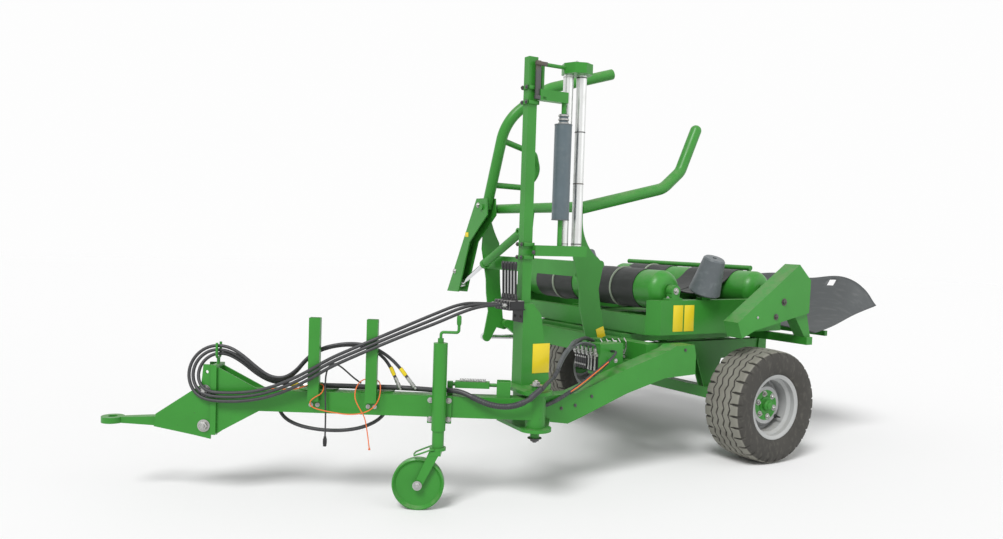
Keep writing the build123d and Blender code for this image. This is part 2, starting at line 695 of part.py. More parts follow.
# ---------------------------------------------------------------- loader
def build_loader():
    left = [
        Polyline((1250, 1720), (1300, 1720), (1300, 1460), (1318, 1385), (1256, 1150), (1250, 1040), (1180, 800)),
        ThreePointArc((1180, 800), (loader_x + 20, loader_z - 48), (loader_x - 45, loader_z)),
        Polyline((loader_x - 45, loader_z), (1046, 900), (1077, 1026), (1099, 1153), (1070, 1296)),
        ThreePointArc((1070, 1296), (1062, 1326), (1090, 1342)),
        ThreePointArc((1090, 1342), (1205, 1450), (1250, 1620)),
        Line((1250, 1620), (1250, 1720)),
    ]
    bore = bar((loader_x, -2000, loader_z), (loader_x, 2000, loader_z), loader_pin_radius + running_gap)
    plate = side_plate(make_face(left), loader_left_y, loader_plate)
    y = loader_left_y + loader_plate / 2
    tube = bent_tube(((1270, y, 1680), (562, y, 1850), (410, y, 1975), (275, y, 2275)), loader_tube_radius, (180, 120))
    tube += Pos(275, y, 2275) * Sphere(loader_tube_radius)
    nodes["loader_plate_left"] = plate + tube - bore

    eye_x, eye_z = lift_eye
    right = [
        Polyline((1250, 1706), (1302, 1706), (1298, 1460), (1302, 1385), (1256, 1150), (1250, 1040), (1228, 900),
                 (1262, 720)),
        ThreePointArc((1262, 720), (eye_x + 4, eye_z - 34), (eye_x - 30, eye_z - 16)),
        Polyline((eye_x - 30, eye_z - 16), (1150, 772), (loader_x + 20, loader_z - 45)),
        ThreePointArc((loader_x + 20, loader_z - 45), (loader_x - 35, loader_z - 34), (loader_x - 45, loader_z + 15)),
        Polyline((loader_x - 45, loader_z + 15), (1094, 842), (1128, 1100), (1149, 1433)),
        ThreePointArc((1149, 1433), (1205, 1540), (1250, 1706)),
    ]
    nodes["loader_plate_right"] = side_plate(make_face(right), loader_right_y, loader_plate) - bore

    span = (loader_right_y + loader_plate, loader_left_y)
    cross = bar((cross_tube_x, span[0], cross_tube_z), (cross_tube_x, span[1], cross_tube_z), cross_tube_radius)
    cross += bar((cross_tube_x, clamp_y, clamp_z), (clamp_x + clamp_gap / 2 + 22, clamp_y, clamp_z), 22)
    base_y, base_z = clamp_base
    lug_x = cross_tube_x + 20
    cross += cross_plate(shape_of(
        (base_y - 30, base_z - 25), (base_y + 30, base_z - 25), (base_y + 55, cross_tube_z), (base_y - 55, cross_tube_z)),
        lug_x, 12)
    cross += bar((lug_x, base_y, base_z), (clamp_x + 22, base_y, base_z), 14)
    nodes["loader_cross_bars"] = group([cross - tube, block((1215, 1285), span, (1235, 1335))])


def build_clamp_arm():
    tube_plane = Plane(origin=(0, clamp_y, clamp_z), x_dir=(1, 0, 0),
                       z_dir=(0, -math.cos(math.radians(clamp_lean)), math.sin(math.radians(clamp_lean))))

    def spot(x, rise):
        return tuple(tube_plane.from_local_coords(Vector(x, rise, 0)))

    main = bent_tube((spot(clamp_x, 0), spot(clamp_x - 5, 660), spot(clamp_x - 290, 930), spot(500, 1110)),
                     loader_tube_radius, (330, 330))
    loop = bent_tube((spot(clamp_x, 520), spot(1035, 440), spot(965, 300), spot(1035, 170), spot(clamp_x, 175)),
                     22, (60, 110, 60))
    half = clamp_gap / 2
    outline = shape_of((-590, 1765), (-440, 1765), (-425, 1640), (-680, 1436), (-835, 1040), (-1020, 1035))
    arm = main + loop
    for x in (clamp_x - half - 10, clamp_x + half):
        arm += cross_plate(outline, x, 10)
    web = shape_of((-590, 1765), (-1020, 1035), (-1010, 1035), (-580, 1765))
    arm += cross_plate(web, clamp_x - half, clamp_gap)
    arm -= bar((clamp_x - 100, clamp_y, clamp_z), (clamp_x + 100, clamp_y, clamp_z), 22 + running_gap)
    nodes["clamp_arm"] = arm


# ---------------------------------------------------------------- cylinders
def cylinder_parts(base, eye, barrel_share, closing, barrel_radius, rod_radius, eye_width, pin_radius, pin_length):
    """Barrel and rod between two pins of a plane, drawn along +X, with room for the rod to close."""
    reach = math.dist(base, eye)
    barrel_end = reach * barrel_share
    half = eye_width / 2
    barrel = bar((0, -barrel_radius - 4, 0), (0, barrel_radius + 4, 0), barrel_radius - 4)
    barrel += bar((0, 0, 0), (barrel_end, 0, 0), barrel_radius)
    barrel += bar((barrel_end - 28, 0, 0), (barrel_end, 0, 0), barrel_radius + 5)
    barrel -= bar((0, -barrel_radius - 5, 0), (0, barrel_radius + 5, 0), pin_radius + running_gap)
    barrel -= bar((barrel_radius + 12, 0, 0), (barrel_end + 1, 0, 0), rod_radius + running_gap)
    rod = bar((barrel_radius + 25 + closing, 0, 0), (reach - 12, 0, 0), rod_radius)
    rod += bar((reach, -half, 0), (reach, half, 0), barrel_radius - 4)
    rod += bar((reach, -pin_length / 2, 0), (reach, pin_length / 2, 0), pin_radius)
    return barrel, rod


def build_cylinders():
    # lift cylinder beside the right side beam: base pin on the beam, eye beside the loader's lever
    barrel, rod = cylinder_parts(lift_base, lift_eye, 0.62, 310, 32, 18, 30, lift_pin_radius, 30)
    rise = math.degrees(math.atan2(lift_eye[1] - lift_base[1], lift_eye[0] - lift_base[0]))
    seat = Pos(lift_base[0], lift_y, lift_base[1]) * Rot(0, -rise, 0)
    nodes["lift_barrel"] = seat * barrel
    reach = math.dist(lift_base, lift_eye)
    rod += bar((reach, 0, 0), (reach, loader_right_y - lift_y - 1, 0), 14)
    nodes["lift_rod"] = seat * rod

    # clamp cylinder in the plane of the clamp arm's lever
    barrel, rod = cylinder_parts(clamp_base, clamp_eye, 0.61, 145, 30, 16, 36, 14, 58)
    run_y = clamp_eye[0] - clamp_base[0]
    rise = math.degrees(math.atan2(clamp_eye[1] - clamp_base[1], -run_y))
    seat = Pos(clamp_x, clamp_base[0], clamp_base[1]) * Rot(0, 0, -90) * Rot(0, -rise, 0)
    nodes["clamp_barrel"] = seat * barrel
    nodes["clamp_rod"] = seat * rod

    # tilt cylinder between the chassis and the tilting frame
    barrel, rod = cylinder_parts(ram_base, ram_eye, 0.8, 0, ram_radius, 20, 40, ram_pin_radius, 52)
    rise = math.degrees(math.atan2(ram_eye[1] - ram_base[1], ram_eye[0] - ram_base[0]))
    seat = Pos(ram_base[0], ram_y, ram_base[1]) * Rot(0, -rise, 0)
    nodes["tilt_barrel"] = seat * barrel
    nodes["tilt_rod"] = seat * rod


# ---------------------------------------------------------------- hoses and cables
# radius and corner points of each cord: along the drawbar, to its left and up
drawbar_cords = {
    "hose_middle": (9, (
        (221, -116, 1099), (289, -73, 1102), (405, -34, 1090), (560, 2, 1020), (710, 48, 956),
        (865, 110, 889), (1000, 118, 827), (1110, 117, 775), (1225, 116, 702), (1345, 113, 638),
        (1480, 107, 590), (1630, 97, 568), (1784, 84, 570), (1847, 64, 616), (1871, 40, 690),
        (1847, 16, 764), (1784, -3, 810), (1698, -7, 808), (1612, -8, 764), (1530, -6, 700),
        (1455, -4, 652), (1378, -2, 650), (1316, -1, 697), (1268, -1, 762), (1203, -1, 818),
        (1112, -1, 850), (1010, -1, 862), (915, -1, 848), (842, -1, 803), (798, -1, 746), (772, -2, 690),)),
    "hose_outer": (9, (
        (204, -89, 1099), (272, -46, 1100), (385, -12, 1074), (545, 20, 1000), (705, 64, 936),
        (865, 112, 867), (1000, 119, 804), (1110, 118, 750), (1225, 117, 676), (1345, 114, 612),
        (1480, 108, 566), (1625, 98, 545), (1791, 84, 547), (1866, 64, 602), (1895, 40, 690),
        (1866, 20, 778), (1791, 5, 833), (1692, 0, 832), (1608, 14, 788), (1530, 19, 725),
        (1456, 20, 674), (1376, 21, 668), (1310, 22, 712), (1258, 24, 778), (1190, 25, 834),
        (1100, 25, 862), (1000, 25, 874), (905, 25, 862), (822, 24, 818), (752, 22, 758), (704, 20, 696),)),
    "hose_inner": (9, (
        (238, -143, 1099), (306, -100, 1103), (425, -60, 1104), (575, -14, 1040), (715, 34, 978),
        (865, 108, 912), (1000, 117, 850), (1110, 116, 798), (1225, 115, 725), (1345, 112, 662),
        (1475, 106, 614), (1565, 100, 598), (1665, 93, 591), (1769, 84, 592), (1822, 66, 631),
        (1839, 42, 690), (1820, 17, 750), (1769, -6, 788), (1700, -15, 789), (1620, -24, 744),
        (1545, -28, 682), (1468, -29, 640), (1380, -29, 628), (1294, -29, 627),)),
    "plug_cable": (4.5, (
        (962, -30, 646), (1004, -22, 676), (1042, -4, 716), (1076, 22, 750), (1106, 48, 764),
        (1128, 68, 742), (1137, 78, 690), (1136, 80, 610), (1132, 80, 530), (1130, 81, 450),
        (1131, 80, 372),)),
    "under_hose": (10, (
        (1440, -64, 546), (1428, -64, 488), (1386, -48, 434), (1312, -34, 402), (1225, -26, 386),
        (1130, -22, 380), (1035, -24, 384), (945, -32, 402), (868, -48, 438), (824, -64, 488),
        (806, -64, 546),)),
    "orange_cord": (3, (
        (1480, 36, 612), (1425, 42, 613), (1365, 50, 614), (1305, 54, 616), (1260, 48, 632),
        (1212, 41, 652), (1166, 40, 650), (1144, 66, 634), (1152, 96, 604), (1188, 99, 586),
        (1217, 99, 558), (1202, 99, 530), (1150, 99, 516), (1085, 99, 506), (1010, 99, 497),
        (935, 99, 504), (876, 99, 532), (842, 97, 582), (836, 86, 640), (850, 45, 678), (904, 40, 688),
        (952, 50, 676), (972, 88, 638), (972, 107, 588), (948, 108, 540), (916, 107, 492),
        (903, 106, 430), (893, 106, 368), (886, 106, 316),)),
    "beam_bundle": (14, (
        (1175, -32, 627), (1060, -28, 629), (935, -32, 627), (810, -33, 629), (705, -35, 627),
        (620, -17, 628), (548, 16, 630), (480, 42, 638), (405, 64, 636), (325, 90, 604), (245, 104, 575),
        (155, 108, 568), (80, 112, 588), (25, 114, 622),)),
}
# radius and corner points of the cords that the chassis carries
chassis_cords = {
    "feed_bundle": (12, (
        (2035, 1300, 668), (1985, 1262, 684), (1930, 1218, 694), (1870, 1172, 706), (1805, 1122, 742),
        (1735, 1062, 790), (1640, 990, 828), (1530, 915, 858), (1435, 850, 870), (1345, 792, 862),
        (1266, 744, 832),)),
    "brace_hose": (8, (
        (1955, 1068, 540), (1912, 1048, 524), (1850, 1038, 514), (1760, 1037, 536), (1660, 1038, 582),
        (1560, 1040, 638), (1455, 1037, 702), (1368, 1034, 752), (1302, 1010, 786), (1258, 964, 797),
        (1246, 902, 790),)),
}
# cord end, length and radius of each coupler and plug, carried on past the end of its cord
coupler_sizes = {
    "hose_middle": (75, 11.5),
    "hose_outer": (80, 11.5),
    "hose_inner": (78, 12),
    "plug_cable": (55, 11),
}


def cord(name, radius, points):
    """Tube along straight runs joined by tangent arcs; prints what it came to."""
    corners = [Vector(*point) for point in points]
    bends = []
    for before, corner, after in zip(corners, corners[1:], corners[2:]):
        turn = math.radians((corner - before).get_angle(after - corner))
        run = min((corner - before).length, (after - corner).length)
        bends.append(0.45 * run / math.tan(turn / 2))
    path = FilletPolyline(*corners, radius=bends)
    tube = sweep(Plane(origin=path @ 0, z_dir=path % 0) * Circle(radius), path=path)
    expected = math.pi * radius ** 2 * path.length
    print(name, "length", round(path.length), "radii", round(min(bends)), "to", round(max(bends)),
          "volume over section times length", round(tube.volume / expected, 5))
    return tube


def end_gland(name, length, radius, backwards=False):
    """Round fitting that carries on straight past a cord's last corner, or past its first."""
    points = {**drawbar_cords, **chassis_cords}[name][1]
    before, end = [Vector(*point) for point in (points[1::-1] if backwards else points[-2:])]
    return bar(tuple(end), tuple(end + (end - before).normalized() * length), radius)


def start_gland(name, length, radius):
    """The same past a cord's first corner."""
    return end_gland(name, length, radius, backwards=True)


def build_cords():
    for name, (radius, points) in drawbar_cords.items():
        nodes[name] = drawbar_place * cord(name, radius, points)
    for name, (radius, points) in chassis_cords.items():
        nodes[name] = cord(name, radius, points)
    nodes["hose_couplers"] = drawbar_place * group([
        end_gland(name, length, radius) for name, (length, radius) in coupler_sizes.items()])


# ---------------------------------------------------------------- assembly
build_wheels()
build_axle()
build_chassis()
build_tilt_frame()
build_ramp()
build_table()
build_mast()
build_valves()
build_drawbar()
build_jack()
build_loader()
build_clamp_arm()
build_cylinders()
build_cords()

cord_nodes = (*drawbar_cords, *chassis_cords, "hose_couplers")
boxes = [shape.bounding_box() for name, shape in nodes.items() if name not in cord_nodes]
shift = (
    -(min(box.min.X for box in boxes) + max(box.max.X for box in boxes)) / 2,
    -(min(box.min.Y for box in boxes) + max(box.max.Y for box in boxes)) / 2,
    -min(box.min.Z for box in boxes),
)
os.makedirs("parts", exist_ok=True)
for name, shape in nodes.items():
    export_step(Pos(*shift) * shape, f"parts/{name}.step")
print("origin moved by", [round(value, 3) for value in shift])
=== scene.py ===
import math

import bmesh
import bpy
from mathutils import Matrix, Vector, noise


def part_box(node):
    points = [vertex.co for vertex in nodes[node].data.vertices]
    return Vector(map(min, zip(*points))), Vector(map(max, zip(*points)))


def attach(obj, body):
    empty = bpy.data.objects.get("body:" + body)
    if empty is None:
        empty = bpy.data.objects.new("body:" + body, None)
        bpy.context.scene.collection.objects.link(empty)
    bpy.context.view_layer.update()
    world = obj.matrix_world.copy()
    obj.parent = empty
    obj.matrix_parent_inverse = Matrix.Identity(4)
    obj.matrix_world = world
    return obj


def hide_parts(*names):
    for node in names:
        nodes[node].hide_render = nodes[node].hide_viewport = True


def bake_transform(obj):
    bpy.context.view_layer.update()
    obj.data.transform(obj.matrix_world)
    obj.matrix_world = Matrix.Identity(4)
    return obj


# Trailed round-bale wrapper. Metres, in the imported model's frame: X forward, Y left, Z up.
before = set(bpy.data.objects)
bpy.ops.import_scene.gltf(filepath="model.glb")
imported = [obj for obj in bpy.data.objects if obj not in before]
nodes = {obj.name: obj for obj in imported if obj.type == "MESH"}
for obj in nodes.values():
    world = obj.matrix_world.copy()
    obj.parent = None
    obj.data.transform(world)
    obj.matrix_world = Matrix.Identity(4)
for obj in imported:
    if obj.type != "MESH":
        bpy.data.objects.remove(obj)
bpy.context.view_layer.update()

# ---------------------------------------------------------------- places on the machine
axle_low, axle_high = (Vector(corner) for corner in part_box("axle"))
machine = Matrix.Translation(Vector(((axle_low.x + axle_high.x) / 2, (axle_low.y + axle_high.y) / 2, 0)))
pivot_place = Vector((2.0, 1.195, 0))
drawbar_angle = math.radians(32.2)
drawbar = machine @ Matrix.Translation(pivot_place) @ Matrix.Rotation(-drawbar_angle, 4, "Z")


def middle(node):
    low, high = (Vector(corner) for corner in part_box(node))
    return (low + high) / 2


def aim(point, direction):
    """Place at a point with its local Z along a direction."""
    return Matrix.Translation(Vector(point)) @ Vector(direction).to_track_quat("Z", "Y").to_matrix().to_4x4()


def on_drawbar(point, direction):
    return drawbar @ aim(point, direction)


def on_machine(point, direction):
    return machine @ aim(point, direction)


# ---------------------------------------------------------------- shader groups
def add(tree, kind, inputs=None, **settings):
    made = tree.nodes.new(kind)
    for name, value in settings.items():
        setattr(made, name, value)
    for key, value in (inputs or {}).items():
        if isinstance(value, bpy.types.NodeSocket):
            tree.links.new(value, made.inputs[key])
        else:
            made.inputs[key].default_value = value
    return made


def shader_group(name, inputs, outputs):
    tree = bpy.data.node_groups.new(name, "ShaderNodeTree")
    for label, value in inputs.items():
        socket = tree.interface.new_socket(name=label, in_out="INPUT", socket_type="NodeSocketFloat")
        socket.default_value = value
    for label in outputs:
        tree.interface.new_socket(name=label, in_out="OUTPUT", socket_type="NodeSocketFloat")
    return tree, tree.nodes.new("NodeGroupInput"), tree.nodes.new("NodeGroupOutput")


def spread(tree, value, low, high, start=0.0, end=1.0):
    return add(tree, "ShaderNodeMapRange", {
        "Value": value, "From Min": low, "From Max": high, "To Min": start, "To Max": end}).outputs["Result"]


def sums(tree, operation, first, second):
    return add(tree, "ShaderNodeMath", {0: first, 1: second}, operation=operation).outputs[0]


def coat_wear():
    """Slow change of tone, dust on faces that look up, small worn spots and a fine spray texture."""
    tree, given, put = shader_group(
        "coat_wear", {"Scale": 3.0, "Dust": 0.3, "Wear": 0.3}, ("Tone", "Dust", "Wear", "Height"))
    place = add(tree, "ShaderNodeTexCoord").outputs["Object"]
    broad = add(tree, "ShaderNodeTexNoise", {"Vector": place, "Scale": given.outputs["Scale"], "Detail": 5.0})
    blotch = add(tree, "ShaderNodeTexNoise", {
        "Vector": place, "Scale": 17.0, "Detail": 6.0, "Roughness": 0.65})
    speck = add(tree, "ShaderNodeTexNoise", {"Vector": place, "Scale": 95.0, "Detail": 3.0})
    spray = add(tree, "ShaderNodeTexNoise", {"Vector": place, "Scale": 420.0, "Detail": 2.0})
    normal = add(tree, "ShaderNodeNewGeometry").outputs["Normal"]
    up = add(tree, "ShaderNodeSeparateXYZ", {0: normal}).outputs["Z"]
    dust = sums(tree, "MULTIPLY", spread(tree, up, 0.1, 0.95), spread(tree, blotch.outputs["Fac"], 0.4, 0.68))
    spots = sums(tree, "MULTIPLY", spread(tree, speck.outputs["Fac"], 0.66, 0.7),
                 spread(tree, blotch.outputs["Fac"], 0.52, 0.6))
    ready = {
        "Tone": spread(tree, broad.outputs["Fac"], 0.3, 0.7),
        "Dust": sums(tree, "MULTIPLY", dust, given.outputs["Dust"]),
        "Wear": sums(tree, "MULTIPLY", spots, given.outputs["Wear"]),
        "Height": spray.outputs["Fac"],
    }
    for label, value in ready.items():
        tree.links.new(value, put.inputs[label])
    return tree


def moulded_grain():
    """Leathery grain with scuffs, for rubber and plastic."""
    tree, given, put = shader_group(
        "moulded_grain", {"Scale": 220.0, "Scuff": 0.4}, ("Tone", "Scuff", "Height"))
    place = add(tree, "ShaderNodeTexCoord").outputs["Object"]
    cells = add(tree, "ShaderNodeTexVoronoi", {"Vector": place, "Scale": given.outputs["Scale"]})
    broad = add(tree, "ShaderNodeTexNoise", {"Vector": place, "Scale": 5.0, "Detail": 6.0, "Roughness": 0.6})
    drift = add(tree, "ShaderNodeMapping", {"Vector": place, "Scale": (30.0, 4.0, 18.0)})
    rubbed = add(tree, "ShaderNodeTexNoise", {"Vector": drift.outputs[0], "Scale": 1.5, "Detail": 5.0})
    ready = {
        "Tone": spread(tree, broad.outputs["Fac"], 0.3, 0.72),
        "Scuff": sums(tree, "MULTIPLY", spread(tree, rubbed.outputs["Fac"], 0.52, 0.72),
                      given.outputs["Scuff"]),
        "Height": cells.outputs["Distance"],
    }
    for label, value in ready.items():
        tree.links.new(value, put.inputs[label])
    return tree


def brushed_metal():
    """Fine lines along one way with dull patches."""
    tree, given, put = shader_group(
        "brushed_metal", {"Across": 300.0, "Along": 12.0, "Stain": 0.4}, ("Lines", "Stain", "Height"))
    place = add(tree, "ShaderNodeTexCoord").outputs["Object"]
    scale = add(tree, "ShaderNodeCombineXYZ", {
        0: given.outputs["Across"], 1: given.outputs["Across"], 2: given.outputs["Along"]}).outputs[0]
    stretched = add(tree, "ShaderNodeMapping", {"Vector": place, "Scale": scale}).outputs[0]
    lines = add(tree, "ShaderNodeTexNoise", {"Vector": stretched, "Scale": 1.0, "Detail": 3.0}).outputs["Fac"]
    patches = add(tree, "ShaderNodeTexNoise", {"Vector": place, "Scale": 9.0, "Detail": 7.0}).outputs["Fac"]
    ready = {
        "Lines": lines,
        "Stain": sums(tree, "MULTIPLY", spread(tree, patches, 0.46, 0.7), given.outputs["Stain"]),
        "Height": lines,
    }
    for label, value in ready.items():
        tree.links.new(value, put.inputs[label])
    return tree


coat_wear_group = coat_wear()
moulded_grain_group = moulded_grain()
brushed_metal_group = brushed_metal()


# ---------------------------------------------------------------- materials
def blank_material(name, **constants):
    material = bpy.data.materials.new(name)
    material.use_nodes = True
    tree = material.node_tree
    shader = tree.nodes["Principled BSDF"]
    for label, value in constants.items():
        shader.inputs[label.replace("_", " ")].default_value = value
    return material, tree, shader


def blend_colours(tree, share, first, second):
    made = add(tree, "ShaderNodeMix", data_type="RGBA")
    for socket, value in ((made.inputs[0], share), (made.inputs[6], first), (made.inputs[7], second)):
        if isinstance(value, bpy.types.NodeSocket):
            tree.links.new(value, socket)
        else:
            socket.default_value = value if isinstance(value, float) else (*value, 1)
    return made.outputs[2]


def bump(tree, shader, height, depth, strength=0.5):
    made = add(tree, "ShaderNodeBump", {"Height": height, "Distance": depth, "Strength": strength})
    tree.links.new(made.outputs[0], shader.inputs["Normal"])


dust_colour = (0.34, 0.31, 0.24)
bare_spot_colour = (0.05, 0.045, 0.04)


def paint(name, colour, deep, gloss=0.32, dust=0.35, wear=0.5, second=None, seam=None):
    """Sprayed paint; second is its colour inside the radius that seam gives about a Y axis."""
    material, tree, shader = blank_material(
        name, Coat_Weight=0.08, Coat_Roughness=0.2, Specular_IOR_Level=0.34)
    effect = add(tree, "ShaderNodeGroup", {}, node_tree=coat_wear_group)
    effect.inputs["Dust"].default_value = dust
    effect.inputs["Wear"].default_value = wear
    tint = blend_colours(tree, effect.outputs["Tone"], deep, colour)
    if second:
        axis_x, axis_z, radius, width = seam
        place = add(tree, "ShaderNodeSeparateXYZ", {0: add(tree, "ShaderNodeTexCoord").outputs["Object"]})
        away = [sums(tree, "POWER", sums(tree, "SUBTRACT", place.outputs[axis], value), 2.0)
                for axis, value in (("X", axis_x), ("Z", axis_z))]
        reach = sums(tree, "SQRT", sums(tree, "ADD", *away), 0.0)
        tint = blend_colours(tree, spread(tree, reach, radius, radius + width), second, tint)
    tint = blend_colours(tree, effect.outputs["Dust"], tint, dust_colour)
    tint = blend_colours(tree, effect.outputs["Wear"], tint, bare_spot_colour)
    # light that the paint throws onto its neighbours is greyer than the paint itself
    thrown = add(tree, "ShaderNodeLightPath").outputs["Is Diffuse Ray"]
    tint = blend_colours(tree, thrown, tint, tuple(0.35 * part + 0.05 for part in colour))
    tree.links.new(tint, shader.inputs["Base Color"])
    shine = spread(tree, effect.outputs["Tone"], 0, 1, gloss + 0.08, gloss)
    rough = sums(tree, "ADD", shine, effect.outputs["Dust"])
    tree.links.new(rough, shader.inputs["Roughness"])
    bump(tree, shader, effect.outputs["Height"], 0.0004, 0.25)
    return material


def rubber(name, colour, worn, rough=0.62, grain=220.0, scuff=0.4, depth=0.0005):
    material, tree, shader = blank_material(name)
    effect = add(tree, "ShaderNodeGroup", {}, node_tree=moulded_grain_group)
    effect.inputs["Scale"].default_value = grain
    effect.inputs["Scuff"].default_value = scuff
    tint = blend_colours(tree, effect.outputs["Tone"], colour, tuple(1.25 * part for part in colour))
    tint = blend_colours(tree, effect.outputs["Scuff"], tint, worn)
    tree.links.new(tint, shader.inputs["Base Color"])
    dull = spread(tree, effect.outputs["Tone"], 0, 1, rough - 0.08, rough + 0.1)
    tree.links.new(dull, shader.inputs["Roughness"])
    bump(tree, shader, effect.outputs["Height"], depth, 0.4)
    return material


def metal(name, colour, stained, rough=0.3, across=300.0, along=12.0, stain=0.4, shine=1.0):
    material, tree, shader = blank_material(name, Metallic=shine)
    effect = add(tree, "ShaderNodeGroup", {}, node_tree=brushed_metal_group)
    for label, value in (("Across", across), ("Along", along), ("Stain", stain)):
        effect.inputs[label].default_value = value
    tree.links.new(blend_colours(tree, effect.outputs["Stain"], colour, stained), shader.inputs["Base Color"])
    rough = sums(tree, "ADD", spread(tree, effect.outputs["Lines"], 0.3, 0.7, rough - 0.06, rough + 0.08),
                 sums(tree, "MULTIPLY", effect.outputs["Stain"], 0.3))
    tree.links.new(rough, shader.inputs["Roughness"])
    bump(tree, shader, effect.outputs["Height"], 0.0002, 0.3)
    return material


green = (0.040, 0.270, 0.031)
deep_green = (0.032, 0.225, 0.024)
pale_ring = (0.40, 0.46, 0.36)
green_paint = paint("green_paint", green, deep_green)
black_paint = paint("black_paint", (0.022, 0.023, 0.024), (0.014, 0.014, 0.015), gloss=0.4, dust=0.5)
yellow_plate = paint("yellow_plate", (0.84, 0.66, 0.02), (0.76, 0.58, 0.016), gloss=0.3, dust=0.1, wear=0.15)
white_band = paint("white_band", (0.75, 0.76, 0.74), (0.64, 0.65, 0.62), gloss=0.35, dust=0.2, wear=0.1)
mat_rubber = rubber("mat_rubber", (0.062, 0.068, 0.070), (0.12, 0.125, 0.125), rough=0.5, grain=90.0,
                    scuff=0.5)
belt_rubber = rubber("belt_rubber", (0.018, 0.020, 0.019), (0.06, 0.065, 0.06), rough=0.55, grain=340.0,
                     scuff=0.4)
hose_rubber = rubber("hose_rubber", (0.030, 0.031, 0.033), (0.085, 0.085, 0.09),
                     rough=0.45, grain=500.0, scuff=0.3, depth=0.0002)
grip_plastic = rubber("grip_plastic", (0.012, 0.012, 0.013), (0.04, 0.04, 0.04), rough=0.35, grain=600.0,
                      scuff=0.2)
cone_plastic = rubber("cone_plastic", (0.095, 0.110, 0.118), (0.19, 0.21, 0.22), rough=0.42, grain=260.0,
                      scuff=0.5)
film_plastic = rubber("film_plastic", (0.085, 0.115, 0.13), (0.15, 0.18, 0.19),
                      rough=0.36, grain=420.0, scuff=0.35, depth=0.0002)
orange_rope = rubber("orange_rope", (0.72, 0.15, 0.03), (0.5, 0.14, 0.05), rough=0.6, grain=900.0, scuff=0.4)
hose_sleeve = rubber("hose_sleeve", (0.030, 0.032, 0.035), (0.09, 0.09, 0.095), rough=0.5, grain=300.0,
                     scuff=0.5)
strand_rubber = rubber("strand_rubber", (0.075, 0.080, 0.085), (0.16, 0.165, 0.17),
                       rough=0.4, grain=500.0, scuff=0.4, depth=0.0002)
zinc = metal("zinc", (0.47, 0.47, 0.46), (0.29, 0.27, 0.23), rough=0.4, stain=0.5)
bright_rod = metal("bright_rod", (0.75, 0.76, 0.77), (0.5, 0.5, 0.5), rough=0.14, stain=0.2)
aluminium = metal("aluminium", (0.72, 0.73, 0.72), (0.5, 0.5, 0.48), rough=0.3, across=500.0, along=6.0,
                  stain=0.35)
dark_iron = metal("dark_iron", (0.10, 0.10, 0.10), (0.16, 0.12, 0.08), rough=0.5, stain=0.6, shine=0.6)


def axis_of(node):
    point = middle(node)
    return point.x, point.z


def tread_paint(side):
    """Tyre rubber: dark, with the tops of the tread worn pale."""
    low, high = (Vector(corner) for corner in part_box(f"tyre_{side}"))
    centre, crown = (low + high) / 2, (high.z - low.z) / 2
    material, tree, shader = blank_material(f"tread_rubber_{side}")
    effect = add(tree, "ShaderNodeGroup", {}, node_tree=moulded_grain_group)
    effect.inputs["Scale"].default_value = 160.0
    effect.inputs["Scuff"].default_value = 0.5
    place = add(tree, "ShaderNodeSeparateXYZ", {0: add(tree, "ShaderNodeTexCoord").outputs["Object"]})
    away = [sums(tree, "POWER", sums(tree, "SUBTRACT", place.outputs[axis], value), 2.0)
            for axis, value in (("X", centre.x), ("Y", centre.y), ("Z", centre.z))]
    reach = sums(tree, "SQRT", sums(tree, "ADD", away[0], away[2]), 0.0)
    reach = sums(tree, "ADD", reach, sums(tree, "MULTIPLY", away[1], 0.42))
    worn = spread(tree, reach, crown - 0.0085, crown - 0.0035)
    tint = blend_colours(tree, effect.outputs["Tone"], (0.038, 0.036, 0.031), (0.052, 0.049, 0.043))
    tint = blend_colours(tree, effect.outputs["Scuff"], tint, (0.10, 0.095, 0.08))
    tops = blend_colours(tree, effect.outputs["Tone"], (0.19, 0.185, 0.155), (0.26, 0.255, 0.22))
    tree.links.new(blend_colours(tree, worn, tint, tops), shader.inputs["Base Color"])
    shader.inputs["Roughness"].default_value = 0.75
    bump(tree, shader, effect.outputs["Height"], 0.0005, 0.4)
    return material


tread_rubber = {side: tread_paint(side) for side in ("left", "right")}


def wheel_paint(node):
    return paint(f"{node}_paint", (0.44, 0.45, 0.445), (0.37, 0.38, 0.375), gloss=0.34, dust=0.3, wear=0.3,
                 second=green, seam=(*axis_of(node), 0.102, 0.003))


def drum_paint(node):
    return paint(f"{node}_paint", pale_ring, (0.33, 0.40, 0.30), dust=0.25, second=green,
                 seam=(*axis_of(node), 0.1365, 0.001))


node_materials = {
    "wheel_left": wheel_paint("wheel_left"), "wheel_right": wheel_paint("wheel_right"),
    "roller_front": drum_paint("roller_front"), "roller_rear": drum_paint("roller_rear"),
    "belts": belt_rubber, "cone_left": cone_plastic, "cone_right": cone_plastic, "film_core": film_plastic,
    "stretch_roller_front": aluminium, "stretch_roller_rear": aluminium,
    "lift_rod": bright_rod, "clamp_rod": bright_rod, "tilt_rod": bright_rod, "lever_bank": black_paint,
}
for name, solid in nodes.items():
    for index in range(max(1, len(solid.material_slots))):
        if not solid.material_slots:
            solid.data.materials.append(None)
        solid.material_slots[index].material = node_materials.get(name, green_paint)


# ---------------------------------------------------------------- mesh helpers
def add_turned(work, place, profile, steps=32):
    """Round solid about the local Z from (radius, height) steps."""
    rings = []
    for radius, height in profile:
        count = steps if radius > 0 else 1
        rings.append([work.verts.new(place @ Vector((
            radius * math.cos(math.tau * i / steps), radius * math.sin(math.tau * i / steps), height)))
            for i in range(count)])
    for low, high in zip(rings, rings[1:]):
        for i in range(steps):
            j = (i + 1) % steps
            corners = [low[i % len(low)], low[j % len(low)], high[j % len(high)], high[i % len(high)]]
            corners = list(dict.fromkeys(corners))
            if len(corners) > 2:
                work.faces.new(corners)


